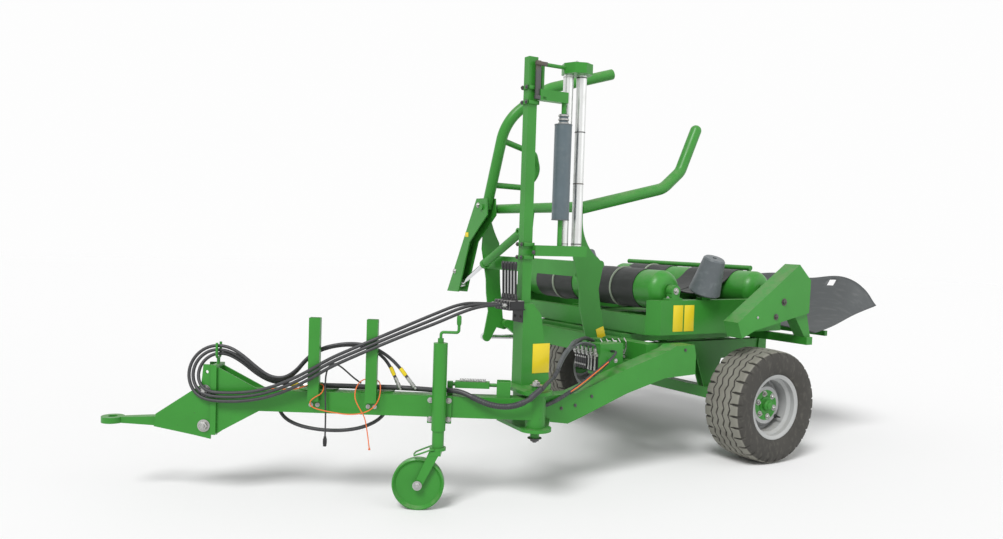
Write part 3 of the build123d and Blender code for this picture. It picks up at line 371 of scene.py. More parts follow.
def add_bolt(work, place, across, high):
    """Hex head on a washer, with its point left proud of the nut."""
    rim = across * 0.85
    add_turned(work, place, [(0, -0.002), (rim, -0.002), (rim, 0.002), (0, 0.002)], 24)
    radius = across / 2 / math.cos(math.pi / 6)
    add_turned(work, place, [(0, 0), (radius, 0), (radius, high * 0.85), (radius * 0.86, high), (0, high)], 6)
    stem = across * 0.28
    add_turned(work, place, [
        (0, high * 0.9), (stem, high * 0.9), (stem, high * 1.35), (stem * 0.8, high * 1.5),
        (0, high * 1.5)], 12)


def add_block(work, place, size, bevel=0.002):
    made = bmesh.ops.create_cube(work, size=1, matrix=place @ Matrix.Diagonal((*size, 1)))["verts"]
    edges = list({edge for vert in made for edge in vert.link_edges})
    bmesh.ops.bevel(work, geom=edges, offset=bevel, segments=2, profile=0.5, affect="EDGES")


def add_tube(work, points, radius, steps=12):
    """Round bar along a line of points; radius may change from point to point."""
    radii = radius if isinstance(radius, (list, tuple)) else [radius] * len(points)
    normal, rings = None, []
    for index, point in enumerate(points):
        along = (points[min(index + 1, len(points) - 1)] - points[max(index - 1, 0)]).normalized()
        if normal is None:
            normal = along.orthogonal().normalized()
        normal = (normal - along * normal.dot(along)).normalized()
        side = along.cross(normal)
        rings.append([work.verts.new(point + radii[index] * (
            normal * math.cos(math.tau * i / steps) + side * math.sin(math.tau * i / steps)))
            for i in range(steps)])
    for low, high in zip(rings, rings[1:]):
        for i in range(steps):
            j = (i + 1) % steps
            work.faces.new((low[i], low[j], high[j], high[i]))
    work.faces.new(rings[0][::-1])
    work.faces.new(rings[-1])


def finish_piece(name, work, material, body, smooth=32):
    bmesh.ops.recalc_face_normals(work, faces=work.faces)
    mesh = bpy.data.meshes.new(name)
    work.to_mesh(mesh)
    work.free()
    mesh.shade_smooth()
    mesh.set_sharp_from_angle(angle=math.radians(smooth))
    mesh.materials.append(material)
    made = bpy.data.objects.new(name, mesh)
    bpy.context.scene.collection.objects.link(made)
    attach(made, body)
    return made


# ---------------------------------------------------------------- camera, floor and light
def set_view():
    camera = bpy.data.cameras.new("camera")
    camera.sensor_width = 36
    camera.lens = 30.255
    camera.clip_end = 60
    holder = bpy.data.objects.new("camera", camera)
    bpy.context.scene.collection.objects.link(holder)
    right = Vector((-0.85206, 0.52247, 0.03190))
    up = Vector((0.00835, -0.04737, 0.99884))
    turn = Matrix((right, up, right.cross(up))).transposed().to_4x4()
    holder.matrix_world = Matrix.Translation(machine @ Vector((4.574575, 4.982561, 1.463511))) @ turn
    bpy.context.scene.camera = holder


def seen_or_mirrored(tree):
    path = add(tree, "ShaderNodeLightPath")
    return sums(tree, "MAXIMUM", path.outputs["Is Camera Ray"], sums(
        tree, "MAXIMUM", path.outputs["Is Glossy Ray"], path.outputs["Is Transmission Ray"]))


def set_floor():
    work = bmesh.new()
    bmesh.ops.create_grid(work, x_segments=2, y_segments=2, size=40)
    mesh = bpy.data.meshes.new("floor")
    work.to_mesh(mesh)
    work.free()
    floor = bpy.data.objects.new("floor", mesh)
    bpy.context.scene.collection.objects.link(floor)
    material, tree, shader = blank_material("pale_floor", Roughness=0.95, Specular_IOR_Level=0.0)
    cloud = add(tree, "ShaderNodeTexNoise", {"Scale": 0.7, "Detail": 3.0}).outputs["Fac"]
    pale = blend_colours(tree, cloud, (0.93, 0.93, 0.93), (0.95, 0.95, 0.95))
    tree.links.new(pale, shader.inputs["Base Color"])
    mesh.materials.append(material)


def set_light():
    world = bpy.data.worlds.new("studio")
    bpy.context.scene.world = world
    world.use_nodes = True
    tree = world.node_tree
    tree.nodes.clear()
    plain = add(tree, "ShaderNodeBackground", {"Color": (1, 1, 1, 1), "Strength": 0.48})
    shown = add(tree, "ShaderNodeBackground", {"Color": (1, 1, 1, 1), "Strength": 0.985})
    mix = add(tree, "ShaderNodeMixShader", {
        0: seen_or_mirrored(tree), 1: plain.outputs[0], 2: shown.outputs[0]})
    add(tree, "ShaderNodeOutputWorld", {0: mix.outputs[0]})
    for name, energy, angle, direction in (
            ("key", 2.17, 22, (-0.75, -0.55, -1.0)), ("fill", 0.45, 60, (0.6, -0.9, -0.5))):
        sun = bpy.data.lights.new(name, "SUN")
        sun.energy = energy
        sun.angle = math.radians(angle)
        lamp = bpy.data.objects.new(name, sun)
        lamp.matrix_world = aim((0, 0, 6), [-part for part in direction])
        bpy.context.scene.collection.objects.link(lamp)
    bpy.context.scene.view_settings.view_transform = "Standard"


set_view()
set_floor()
set_light()

# ---------------------------------------------------------------- hoses and cables
drawbar_routes = {
    "hose_middle": (
        (0.221, -0.116, 1.099), (0.289, -0.073, 1.102), (0.405, -0.034, 1.09), (0.56, 0.002, 1.02),
        (0.71, 0.048, 0.956), (0.865, 0.11, 0.889), (1, 0.118, 0.827), (1.11, 0.117, 0.775),
        (1.225, 0.116, 0.702), (1.345, 0.113, 0.638), (1.48, 0.107, 0.59), (1.63, 0.097, 0.568),
        (1.784, 0.084, 0.57), (1.847, 0.064, 0.616), (1.871, 0.04, 0.69), (1.847, 0.016, 0.764),
        (1.784, -0.003, 0.81), (1.698, -0.007, 0.808), (1.612, -0.008, 0.764), (1.53, -0.006, 0.7),
        (1.455, -0.004, 0.652), (1.378, -0.002, 0.65), (1.316, -0.001, 0.697), (1.268, -0.001, 0.762),
        (1.203, -0.001, 0.818), (1.112, -0.001, 0.85), (1.01, -0.001, 0.862), (0.915, -0.001, 0.848),
        (0.842, -0.001, 0.803), (0.798, -0.001, 0.746), (0.772, -0.002, 0.69),),
    "hose_outer": (
        (0.204, -0.089, 1.099), (0.272, -0.046, 1.1), (0.385, -0.012, 1.074), (0.545, 0.02, 1),
        (0.705, 0.064, 0.936), (0.865, 0.112, 0.867), (1, 0.119, 0.804), (1.11, 0.118, 0.75),
        (1.225, 0.117, 0.676), (1.345, 0.114, 0.612), (1.48, 0.108, 0.566), (1.625, 0.098, 0.545),
        (1.791, 0.084, 0.547), (1.866, 0.064, 0.602), (1.895, 0.04, 0.69), (1.866, 0.02, 0.778),
        (1.791, 0.005, 0.833), (1.692, 0, 0.832), (1.608, 0.014, 0.788), (1.53, 0.019, 0.725),
        (1.456, 0.02, 0.674), (1.376, 0.021, 0.668), (1.31, 0.022, 0.712), (1.258, 0.024, 0.778),
        (1.19, 0.025, 0.834), (1.1, 0.025, 0.862), (1, 0.025, 0.874), (0.905, 0.025, 0.862),
        (0.822, 0.024, 0.818), (0.752, 0.022, 0.758), (0.704, 0.02, 0.696),),
    "hose_inner": (
        (0.238, -0.143, 1.099), (0.306, -0.1, 1.103), (0.425, -0.06, 1.104), (0.575, -0.014, 1.04),
        (0.715, 0.034, 0.978), (0.865, 0.108, 0.912), (1, 0.117, 0.85), (1.11, 0.116, 0.798),
        (1.225, 0.115, 0.725), (1.345, 0.112, 0.662), (1.475, 0.106, 0.614), (1.565, 0.1, 0.598),
        (1.665, 0.093, 0.591), (1.769, 0.084, 0.592), (1.822, 0.066, 0.631), (1.839, 0.042, 0.69),
        (1.82, 0.017, 0.75), (1.769, -0.006, 0.788), (1.7, -0.015, 0.789), (1.62, -0.024, 0.744),
        (1.545, -0.028, 0.682), (1.468, -0.029, 0.64), (1.38, -0.029, 0.628), (1.294, -0.029, 0.627),),
    "plug_cable": (
        (0.962, -0.03, 0.646), (1.004, -0.022, 0.676), (1.042, -0.004, 0.716), (1.076, 0.022, 0.75),
        (1.106, 0.048, 0.764), (1.128, 0.068, 0.742), (1.137, 0.078, 0.69), (1.136, 0.08, 0.61),
        (1.132, 0.08, 0.53), (1.13, 0.081, 0.45), (1.131, 0.08, 0.372),),
    "under_hose": (
        (1.44, -0.064, 0.546), (1.428, -0.064, 0.488), (1.386, -0.048, 0.434), (1.312, -0.034, 0.402),
        (1.225, -0.026, 0.386), (1.13, -0.022, 0.38), (1.035, -0.024, 0.384), (0.945, -0.032, 0.402),
        (0.868, -0.048, 0.438), (0.824, -0.064, 0.488), (0.806, -0.064, 0.546),),
    "orange_cord": (
        (1.48, 0.036, 0.612), (1.425, 0.042, 0.613), (1.365, 0.05, 0.614), (1.305, 0.054, 0.616),
        (1.26, 0.048, 0.632), (1.212, 0.041, 0.652), (1.166, 0.04, 0.65), (1.144, 0.066, 0.634),
        (1.152, 0.096, 0.604), (1.188, 0.099, 0.586), (1.217, 0.099, 0.558), (1.202, 0.099, 0.53),
        (1.15, 0.099, 0.516), (1.085, 0.099, 0.506), (1.01, 0.099, 0.497), (0.935, 0.099, 0.504),
        (0.876, 0.099, 0.532), (0.842, 0.097, 0.582), (0.836, 0.086, 0.64), (0.85, 0.045, 0.678),
        (0.904, 0.04, 0.688), (0.952, 0.05, 0.676), (0.972, 0.088, 0.638), (0.972, 0.107, 0.588),
        (0.948, 0.108, 0.54), (0.916, 0.107, 0.492), (0.903, 0.106, 0.43), (0.893, 0.106, 0.368),
        (0.886, 0.106, 0.316),),
    "beam_bundle": (
        (1.175, -0.032, 0.627), (1.06, -0.028, 0.629), (0.935, -0.032, 0.627), (0.81, -0.033, 0.629),
        (0.705, -0.035, 0.627), (0.62, -0.017, 0.628), (0.548, 0.016, 0.63), (0.48, 0.042, 0.638),
        (0.405, 0.064, 0.636), (0.325, 0.09, 0.604), (0.245, 0.104, 0.575), (0.155, 0.108, 0.568),
        (0.08, 0.112, 0.588), (0.025, 0.114, 0.622),),
}
chassis_routes = {
    "feed_bundle": (
        (1.266, 0.744, 0.832), (1.345, 0.792, 0.862), (1.435, 0.85, 0.87), (1.53, 0.915, 0.858),
        (1.64, 0.99, 0.828), (1.735, 1.062, 0.79), (1.805, 1.122, 0.742), (1.87, 1.172, 0.706),
        (1.93, 1.218, 0.694), (1.985, 1.262, 0.684), (2.035, 1.3, 0.668),),
    "brace_hose": (
        (1.955, 1.068, 0.54), (1.912, 1.048, 0.524), (1.85, 1.038, 0.514), (1.76, 1.037, 0.536),
        (1.66, 1.038, 0.582), (1.56, 1.04, 0.638), (1.455, 1.037, 0.702), (1.368, 1.034, 0.752),
        (1.302, 1.01, 0.786), (1.258, 0.964, 0.797), (1.246, 0.902, 0.79),),
}


def smooth_line(name, points, radius, material):
    curve = bpy.data.curves.new(name, "CURVE")
    curve.dimensions = "3D"
    curve.bevel_depth = radius
    curve.bevel_resolution = 4
    curve.resolution_u = 6
    curve.use_fill_caps = True
    spline = curve.splines.new("NURBS")
    spline.points.add(len(points) - 1)
    for spot, point in zip(spline.points, points):
        spot.co = (*point, 1)
    spline.order_u = 3
    spline.use_endpoint_u = True
    curve.materials.append(material)
    made = bpy.data.objects.new(name, curve)
    bpy.context.scene.collection.objects.link(made)
    return made


def line_points(curve_object):
    """Points read from a cord's own smooth line."""
    depth = curve_object.data.bevel_depth
    curve_object.data.bevel_depth = 0
    bpy.context.view_layer.update()
    mesh = bpy.data.meshes.new_from_object(curve_object.evaluated_get(bpy.context.evaluated_depsgraph_get()))
    points = [vert.co.copy() for vert in mesh.vertices]
    curve_object.data.bevel_depth = depth
    bpy.data.meshes.remove(mesh)
    return points


def as_tube(curve_object):
    """The same cord as a mesh."""
    name = curve_object.name
    bpy.context.view_layer.update()
    mesh = bpy.data.meshes.new_from_object(curve_object.evaluated_get(bpy.context.evaluated_depsgraph_get()))
    bpy.data.objects.remove(curve_object)
    mesh.shade_smooth()
    made = bpy.data.objects.new(name, mesh)
    bpy.context.scene.collection.objects.link(made)
    return made


def past_end(points):
    """Place at a cord's far end, its local Z carrying on along the last run."""
    return aim(points[-1], points[-1] - points[-2])


def coupler(work, place, length, radius):
    """Quick coupler: ferrule, hexagon, ribbed sleeve and nose."""
    for share, size, steps in (((0, 0.22), 0.86, 24), ((0.22, 0.4), 1.0, 6), ((0.4, 0.46), 0.74, 24)):
        low, high = (part * length for part in share)
        add_turned(work, place, [(0, low), (radius * size, low), (radius * size, high), (0, high)], steps)
    ribs = [(0, 0.46 * length)]
    for index in range(6):
        low = (0.46 + 0.06 * index) * length
        ribs += [(radius * 0.98, low), (radius * 0.98, low + 0.035 * length),
                 (radius * 0.88, low + 0.045 * length)]
    ribs += [(radius * 0.62, 0.84 * length), (radius * 0.62, 0.99 * length), (0, 0.99 * length)]
    add_turned(work, place, ribs, 24)


cord_facts = {
    # radius, length, what is at the far end, stiffness
    "hose_middle": (0.009, 3.229, "connector", "medium"),
    "hose_outer": (0.009, 3.364, "connector", "medium"),
    "hose_inner": (0.009, 2.468, "connector", "medium"),
    "plug_cable": (0.0045, 0.611, "plug", "limp"),
    "under_hose": (0.010, 0.793, "object", "medium"),
    "orange_cord": (0.003, 1.502, "knot", "limp"),
    "beam_bundle": (0.014, 1.193, "object", "medium"),
    "feed_bundle": (0.012, 0.986, "object", "medium"),
    "brace_hose": (0.008, 0.855, "object", "medium"),
}
coupler_sizes = {"hose_middle": (0.075, 0.0115), "hose_outer": (0.080, 0.0115), "hose_inner": (0.078, 0.012)}
cords, cord_lines, end_pieces = {}, {}, {}
for name, (radius, *_) in cord_facts.items():
    on_beam = name in drawbar_routes
    place = drawbar if on_beam else machine
    points = [place @ Vector(point) for point in (drawbar_routes if on_beam else chassis_routes)[name]]
    line = smooth_line(name, points, radius, orange_rope if name == "orange_cord" else hose_rubber)
    cords[name] = line
    cord_lines[name] = line_points(line)
    if name in coupler_sizes:
        work = bmesh.new()
        coupler(work, past_end(points), *coupler_sizes[name])
        end_pieces[name] = [finish_piece(f"{name}_coupler", work, zinc, "drawbar")]
        work = bmesh.new()
        back = aim(points[-1], points[-2] - points[-1])
        add_turned(work, back, [
            (0.0095, 0.012), (0.0112, 0.014), (0.0112, 0.060), (0.0095, 0.062), (0.0095, 0.012)], 24)
        end_pieces[name].append(finish_piece(f"{name}_band", work, yellow_plate, "drawbar"))
    if name == "plug_cable":
        work = bmesh.new()
        add_turned(work, past_end(points), [
            (0, 0), (0.0065, 0), (0.0085, 0.012), (0.0108, 0.014), (0.0108, 0.040), (0.0095, 0.043),
            (0.0095, 0.054), (0, 0.054)], 24)
        end_pieces[name] = [finish_piece("cable_plug", work, grip_plastic, "drawbar")]
    if name == "orange_cord":
        work = bmesh.new()
        add_turned(work, past_end(points), [
            (0, -0.006), (0.0055, -0.004), (0.0062, 0.0), (0.005, 0.004), (0, 0.006)], 16)
        end_pieces[name] = [finish_piece("cord_knot", work, orange_rope, "drawbar")]
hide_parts("hose_couplers")

for name, (radius, length, far_end, stiffness) in cord_facts.items():
    line = cords[name]
    swings = name in ("hose_middle", "hose_outer", "hose_inner", "feed_bundle")
    if swings:
        line = as_tube(line)
    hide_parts(name)
    if name == "feed_bundle":
        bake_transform(line)
    elif swings:
        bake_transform(line)
    elif name in drawbar_routes:
        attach(line, "drawbar")
    else:
        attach(line, "chassis")


# ---------------------------------------------------------------- tyres
tread_pitches = 30
tread_cut = 0.011
shoulder_start = 0.080
groove_places = (-0.076, -0.026, 0.026, 0.076)


def tread_depth(across, turn):
    """Share of the full depth that the tread is cut at a place: zigzag grooves, and gaps between the lugs."""
    pitch = (turn * tread_pitches / math.tau) % 1
    zigzag = 0.0075 * (4 * abs(pitch - 0.5) - 1)
    cut = 0.0
    for groove in groove_places:
        cut = max(cut, 1 - max(0, abs(across - groove - zigzag) - 0.0042) / 0.003)
    if abs(across) > shoulder_start:
        gap = abs(pitch - (0.5 if across > 0 else 0.0))
        gap = min(gap, 1 - gap) - 0.06 * min(1, (abs(across) - shoulder_start) / 0.03)
        cut = max(cut, 1 - max(0, gap) / 0.05)
    return min(1.0, cut)


def build_tyre(side):
    node = f"tyre_{side}"
    low, high = (Vector(corner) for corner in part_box(node))
    centre = (low + high) / 2
    crown, half = (high.z - low.z) / 2, (high.y - low.y) / 2
    tread = half * 0.79
    profile = []
    for step in range(13):
        share = step / 12
        angle = math.radians(-62 + 118 * share)
        radius = crown * 0.765 + 0.076 * math.sin(angle) + 0.010 * share
        profile.append((radius, half * (0.80 + 0.19 * math.cos(angle))))
    profile = [(crown * 0.527, half * 0.73), (crown * 0.56, half * 0.80)] + profile
    profile = [(radius, across) for radius, across in profile if radius < crown - 0.040]
    profile += [(crown - 0.034, half * 0.955), (crown - 0.022, half * 0.905), (crown - 0.012, half * 0.86)]
    count = 100
    ribs = []
    for k in range(count + 1):
        share = 1 - 2 * k / count
        ribs.append((crown - 0.0015 - 0.0065 * share ** 2, tread * share))
    other = [(radius, -across) for radius, across in reversed(profile)]
    ring = profile + ribs + other
    steps = 480
    work = bmesh.new()
    grid = []
    for index in range(steps):
        turn = math.tau * index / steps
        row = []
        for radius, across in ring:
            if radius > crown - 0.036:
                radius -= tread_cut * tread_depth(across, turn)
            spot = Vector((radius * math.cos(turn), across, radius * math.sin(turn)))
            row.append(work.verts.new(centre + spot))
        grid.append(row)
    for index in range(steps):
        here, there = grid[index], grid[(index + 1) % steps]
        for k in range(len(ring)):
            m = (k + 1) % len(ring)
            work.faces.new((here[k], there[k], there[m], here[m]))
    made = finish_piece(f"tread_{side}", work, tread_rubber[side], f"wheel_{side}", smooth=40)
    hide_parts(node)


def build_wheel_fittings(side):
    sign = 1 if side == "left" else -1
    centre = middle(f"tyre_{side}")
    work = bmesh.new()
    for index in range(6):
        turn = math.tau * index / 6 + 0.3
        spot = centre + Vector((0.081 * math.cos(turn), sign * 0.0545, 0.081 * math.sin(turn)))
        add_bolt(work, aim(spot, (0, sign, 0)), across=0.024, high=0.014)
    finish_piece(f"wheel_nuts_{side}", work, zinc, f"wheel_{side}")
    work = bmesh.new()
    spot = centre + Vector((-0.10, sign * 0.045, -0.085))
    add_turned(work, aim(spot, (0, sign, 0)), [
        (0, 0.0), (0.016, 0.0), (0.016, 0.012), (0.009, 0.015), (0.006, 0.040), (0.0045, 0.042),
        (0.0045, 0.052), (0, 0.052)], 20)
    finish_piece(f"valve_stem_{side}", work, grip_plastic, f"wheel_{side}")
    work = bmesh.new()
    add_turned(work, aim(centre + Vector((0, sign * 0.086, 0)), (0, sign, 0)), [
        (0, -0.002), (0.026, -0.002), (0.024, 0.006), (0.012, 0.010), (0, 0.010)], 28)
    finish_piece(f"hub_cap_{side}", work, green_paint, f"wheel_{side}")


for side in ("left", "right"):
    build_tyre(side)
    build_wheel_fittings(side)


# ---------------------------------------------------------------- rubber mat behind the rear roller
mat_rows = (
    # y, x and z at the foot, in the middle and at the top edge
    (-1.235, -0.650, 0.846, -0.930, 0.964, -1.200, 1.204),
    (-0.700, -0.880, 0.846, -1.000, 0.954, -1.210, 1.239),
    (-0.160, -1.010, 0.842, -1.085, 0.966, -1.210, 1.244),
    (0.380, -0.880, 0.846, -1.000, 0.954, -1.215, 1.236),
    (0.800, -0.715, 0.846, -0.950, 0.945, -1.240, 1.228),
    (0.915, -0.650, 0.846, -0.930, 0.934, -1.256, 1.054),
)


def eased_step(values, index, t):
    """Smooth value, number or point, a share t of the way from one of the values to the next."""
    before, start = values[max(index - 1, 0)], values[index]
    end, after = values[index + 1], values[min(index + 2, len(values) - 1)]
    return start + 0.5 * t * (end - before + t * (
        2 * before - 5 * start + 4 * end - after + t * (3 * (start - end) + after - before)))


def eased(values, share):
    """Smooth value along a few evenly spaced ones."""
    at = share * (len(values) - 1)
    index = min(int(at), len(values) - 2)
    return eased_step(values, index, at - index)


def smooth_run(points, parts=6):
    """Points of a smooth line through the given ones."""
    made = [eased_step(points, index, part / parts)
            for index in range(len(points) - 1) for part in range(parts)]
    return [*made, points[-1]]


mat_thickness = 0.008
mat_rear_limit = -1.2550   # no wave reaches further back than the solid mat
slot_columns, slot_rows = (50, 51), (27, 28)


def build_mat():
    across, up = 72, 30
    columns = list(zip(*mat_rows))
    work = bmesh.new()
    grid = []
    for i in range(across + 1):
        share = i / across
        y, foot_x, foot_z, mid_x, mid_z, edge_x, edge_z = (eased(column, share) for column in columns)
        row = []
        for j in range(up + 1):
            t = j / up
            x = (1 - t) ** 2 * foot_x + 2 * t * (1 - t) * (2 * mid_x - (foot_x + edge_x) / 2) + t * t * edge_x
            z = (1 - t) ** 2 * foot_z + 2 * t * (1 - t) * (2 * mid_z - (foot_z + edge_z) / 2) + t * t * edge_z
            wave = 0.012 * t * noise.noise(Vector((3.1 * y, 2.0 * t, 0.4)))
            hem = 0.010 * t ** 3 * math.sin(9 * share * math.pi)
            flare = (0.092 * t * t + 0.016 * math.sin(5.5 * t)) * share ** 8
            spot = Vector((max(x + wave, mat_rear_limit), y + flare, z + wave + hem))
            row.append(work.verts.new(machine @ spot))
        grid.append(row)
    for i in range(across):
        for j in range(up):
            if j in slot_rows and i in slot_columns:
                continue
            work.faces.new((grid[i][j], grid[i + 1][j], grid[i + 1][j + 1], grid[i][j + 1]))
    made = finish_piece("rubber_mat", work, mat_rubber, "tilt_frame", smooth=60)
    thick = made.modifiers.new("thickness", "SOLIDIFY")
    thick.thickness = mat_thickness
    thick.offset = 0
    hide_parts("ramp_mat")
    work = bmesh.new()
    for y in (-0.95, -0.55, -0.16, 0.25, 0.65):
        add_bolt(work, on_machine((-1.0165, y, 0.832), (0, 0, 1)), across=0.022, high=0.009)
    finish_piece("mat_bolts", work, zinc, "tilt_frame")


build_mat()


# ---------------------------------------------------------------- bare plates
def add_plate(name, place, width, height, body):
    work = bmesh.new()
    add_block(work, place, (width, height, 0.002), 0.0008)
    finish_piece(name, work, yellow_plate, body)


def facing_left(x, y, z, lean=0):
    """Place on a face that looks to the left: local X to the rear, local Y up, local Z out of the face."""
    turn = Matrix(((-1, 0, 0), (0, 0, 1), (0, 1, 0))).to_4x4()
    return machine @ Matrix.Translation((x, y, z)) @ turn @ Matrix.Rotation(math.radians(lean), 4, "Z")


add_plate("mast_plate", facing_left(1.866, 1.0362, 0.793), 0.116, 0.168, "chassis")
add_plate("table_plate_front", facing_left(0.545, 0.7412, 0.962), 0.090, 0.180, "turntable")
add_plate("table_plate_rear", facing_left(0.443, 0.7412, 0.962), 0.090, 0.180, "turntable")
add_plate("loader_plate_sign", facing_left(1.070, 0.5672, 0.862, 18), 0.066, 0.070, "loader")
add_plate("lever_sign", machine @ aim((1.3932, -0.722, 1.49), (1, 0, 0)), 0.05, 0.036, "clamp_arm")


# ---------------------------------------------------------------- bolts and pins
bolt_rows = {
    # (body, metal): (on the drawbar or not, point, direction, width across)
    ("drawbar", "zinc"): [(True, (s, t, z), (0, math.copysign(1, t), 0), size) for s, t, z, size in (
        (1.795, 0.0585, 0.592, 0.040), (1.797, 0.0585, 0.402, 0.040), (1.795, -0.0585, 0.592, 0.040),
        (1.797, -0.0585, 0.402, 0.040), (0.570, 0.0685, 0.585, 0.018), (0.470, 0.0685, 0.585, 0.018),
        (0.570, 0.0685, 0.482, 0.018), (0.470, 0.0685, 0.482, 0.018), (0.872, 0.0525, 0.535, 0.014),
        (0.908, 0.0525, 0.535, 0.014), (1.182, 0.0525, 0.535, 0.014), (1.218, 0.0525, 0.535, 0.014))],
    ("chassis", "zinc"): [(False, point, direction, size) for point, direction, size in (
        ((2.0, 1.195, 0.674), (0, 0, 1), 0.040), ((1.24, 0.9405, 0.735), (0, 1, 0), 0.016),
        ((1.64, 0.98, 2.49), (0, 0, 1), 0.030), ((1.60, 0.93, 2.49), (0, 0, 1), 0.016),
        ((1.68, 1.03, 2.49), (0, 0, 1), 0.016), ((1.68, 0.93, 2.49), (0, 0, 1), 0.016),
        ((1.60, 1.03, 2.49), (0, 0, 1), 0.016))],
    ("chassis", "iron"): [(False, point, direction, size) for point, direction, size in (
        # The three small dark iron bolts on the brace, at x 1.48 to 1.70, are painted shade: dark discs that
        # stand for the brace's shaded holes.
        ((0.735, 1.022, 0.79), (0, 1, 0), 0.012), ((1.70, 1.022, 0.49), (0, 1, 0), 0.012),
        ((1.60, 1.022, 0.50), (0, 1, 0), 0.012), ((1.48, 1.022, 0.545), (0, 1, 0), 0.012),
        ((1.94, 1.0365, 1.395), (0, 1, 0), 0.014), ((2.0, 0.955, 1.03), (1, 0, 0), 0.016),
        ((2.0, 1.015, 1.03), (1, 0, 0), 0.016), ((-0.54, 0.5375, 0.8125), (0, 1, 0), 0.026),
        ((-0.54, -0.6175, 0.8125), (0, -1, 0), 0.026))],
    ("tilt_frame", "iron"): [(False, point, direction, size) for point, direction, size in (
        ((-0.128, 1.0655, 1.092), (0, 1, 0), 0.030), ((-0.052, 1.0655, 0.991), (0, 1, 0), 0.026))],
    ("tilt_frame", "zinc"): [(False, (0.128, 1.0655, 0.990), (0, 1, 0), 0.011)],
    ("loader", "iron"): [(False, point, direction, size) for point, direction, size in (
        ((1.08, 0.5775, 0.805), (0, 1, 0), 0.030), ((1.08, -0.6575, 0.805), (0, -1, 0), 0.030))],
    ("clamp_arm", "zinc"): [(False, point, direction, size) for point, direction, size in (
        ((1.3935, -0.56, 1.715), (1, 0, 0), 0.024), ((1.3935, -0.90, 1.20), (1, 0, 0), 0.024))],
}
table_x, table_y, roller_spread = 0.105, -0.160, 0.460
bearing_rows = []
for sign in (1, -1):
    for x in (table_x - roller_spread, table_x + roller_spread):
        for along, reach, rise, direction, size in (
                (0, 0.8935, 1.148, (0, sign, 0), 0.028), (-0.045, 0.865, 1.101, (0, 0, 1), 0.016),
                (0.045, 0.865, 1.101, (0, 0, 1), 0.016)):
            bearing_rows.append((False, (x + along, table_y + sign * reach, rise), direction, size))
bolt_rows["turntable", "zinc"] = bearing_rows
for (body, kind), rows in bolt_rows.items():
    work = bmesh.new()
    for on_beam, point, direction, size in rows:
        place = (on_drawbar if on_beam else on_machine)(point, direction)
        add_bolt(work, place, across=size, high=size * 0.45)
    if kind == "zinc":
        finish_piece(f"{body}_bolts", work, zinc, body)
    else:
        finish_piece(f"{body}_dark_bolts", work, dark_iron, body)


# ---------------------------------------------------------------- control levers and hose fittings
def build_levers():
    knobs, rods, boots = bmesh.new(), bmesh.new(), bmesh.new()
    for index in range(5):
        y = 0.915 + 0.032 * index
        add_turned(knobs, on_machine((2.0625, y, 1.300), (0.0, 0, 1)), [
            (0, -0.004), (0.009, -0.004), (0.0105, 0.006), (0.0115, 0.024), (0.0105, 0.034), (0.006, 0.040),
            (0, 0.041)], 20)
        boot = [(0, -0.002), (0.0145, -0.002)]
        for ring in range(4):
            boot += [(0.0145 - 0.0012 * ring, 0.004 + 0.008 * ring),
                     (0.0115 - 0.0009 * ring, 0.008 + 0.008 * ring)]
        boot += [(0.0085, 0.036), (0, 0.036)]
        add_turned(boots, on_machine((2.055, y, 1.123), (0.03, 0, 1)), boot, 20)
        add_turned(rods, on_machine((2.1205, y, 1.099), (1, 0, 0)), [
            (0, -0.004), (0.0125, -0.004), (0.0125, 0.004), (0, 0.004)], 6)
    for y in (0.915, 1.043):
        add_turned(rods, on_machine((2.121, y, 1.099), (1, 0, 0)), [
            (0, 0), (0.0105, 0), (0.0105, 0.008), (0.008, 0.010), (0.008, 0.018), (0, 0.018)], 20)
    for y in (0.905, 0.937, 0.969, 1.001, 1.033, 1.058):
        gap_plate = machine @ Matrix.Translation((2.055, y - 0.004, 1.100))
        add_block(rods, gap_plate, (0.094, 0.0015, 0.048), 0.0005)
    finish_piece("lever_knobs", knobs, grip_plastic, "chassis")
    finish_piece("lever_boots", boots, grip_plastic, "chassis")
    finish_piece("lever_bank_steel", rods, zinc, "chassis")


def build_valve_dressing():
    caps, steel, pale = bmesh.new(), bmesh.new(), bmesh.new()
    for index in range(5):
        x = 1.010 + 0.048 * index + 0.022
        add_turned(caps, on_machine((x, 0.668, 0.790), (0, 0, 1)), [
            (0, -0.002), (0.015, -0.002), (0.015, 0.026), (0.011, 0.030), (0, 0.030)], 20)
        for rise in (0.728, 0.762):
            add_turned(steel, on_machine((x, 0.7555, rise), (0, 1, 0)), [
                (0, -0.002), (0.0125, -0.002), (0.0125, 0.009), (0, 0.009)], 6)
            add_turned(steel, on_machine((x, 0.7645, rise), (0, 1, 0)), [
                (0, -0.002), (0.0085, -0.002), (0.0085, 0.010), (0, 0.010)], 16)
        points = [machine @ Vector(point) for point in (
            (x, 0.765, 0.762), (x + 0.004, 0.786, 0.775), (x + 0.010, 0.800, 0.800),
            (x + 0.018, 0.806, 0.830), (x + 0.024, 0.790, 0.852))]
        add_tube(steel, points, 0.0045, 10)
        add_turned(pale, on_machine((x + 0.022, 0.700, 0.8125), (0, 0, 1)), [
            (0, -0.004), (0.0138, -0.004), (0.0138, 0.010), (0.010, 0.014), (0, 0.014)], 20)
        add_block(pale, machine @ Matrix.Translation((x, 0.7565, 0.748)), (0.030, 0.004, 0.010), 0.001)
    finish_piece("valve_caps", caps, grip_plastic, "chassis")
    finish_piece("valve_pipes", steel, zinc, "chassis")
    finish_piece("valve_plugs", pale, white_band, "chassis")


def sleeve(name, run, radius, body, ribs=True):
    """Ribbed sleeve round a run of points."""
    dense = [a.lerp(b, part / 4) for a, b in zip(run, run[1:]) for part in range(4)]
    radii = [radius * (0.88 if ribs and (index // 2) % 2 else 1.0) for index in range(len(dense))]
    work = bmesh.new()
    add_tube(work, dense, radii, 16)
    finish_piece(name, work, hose_sleeve, body)


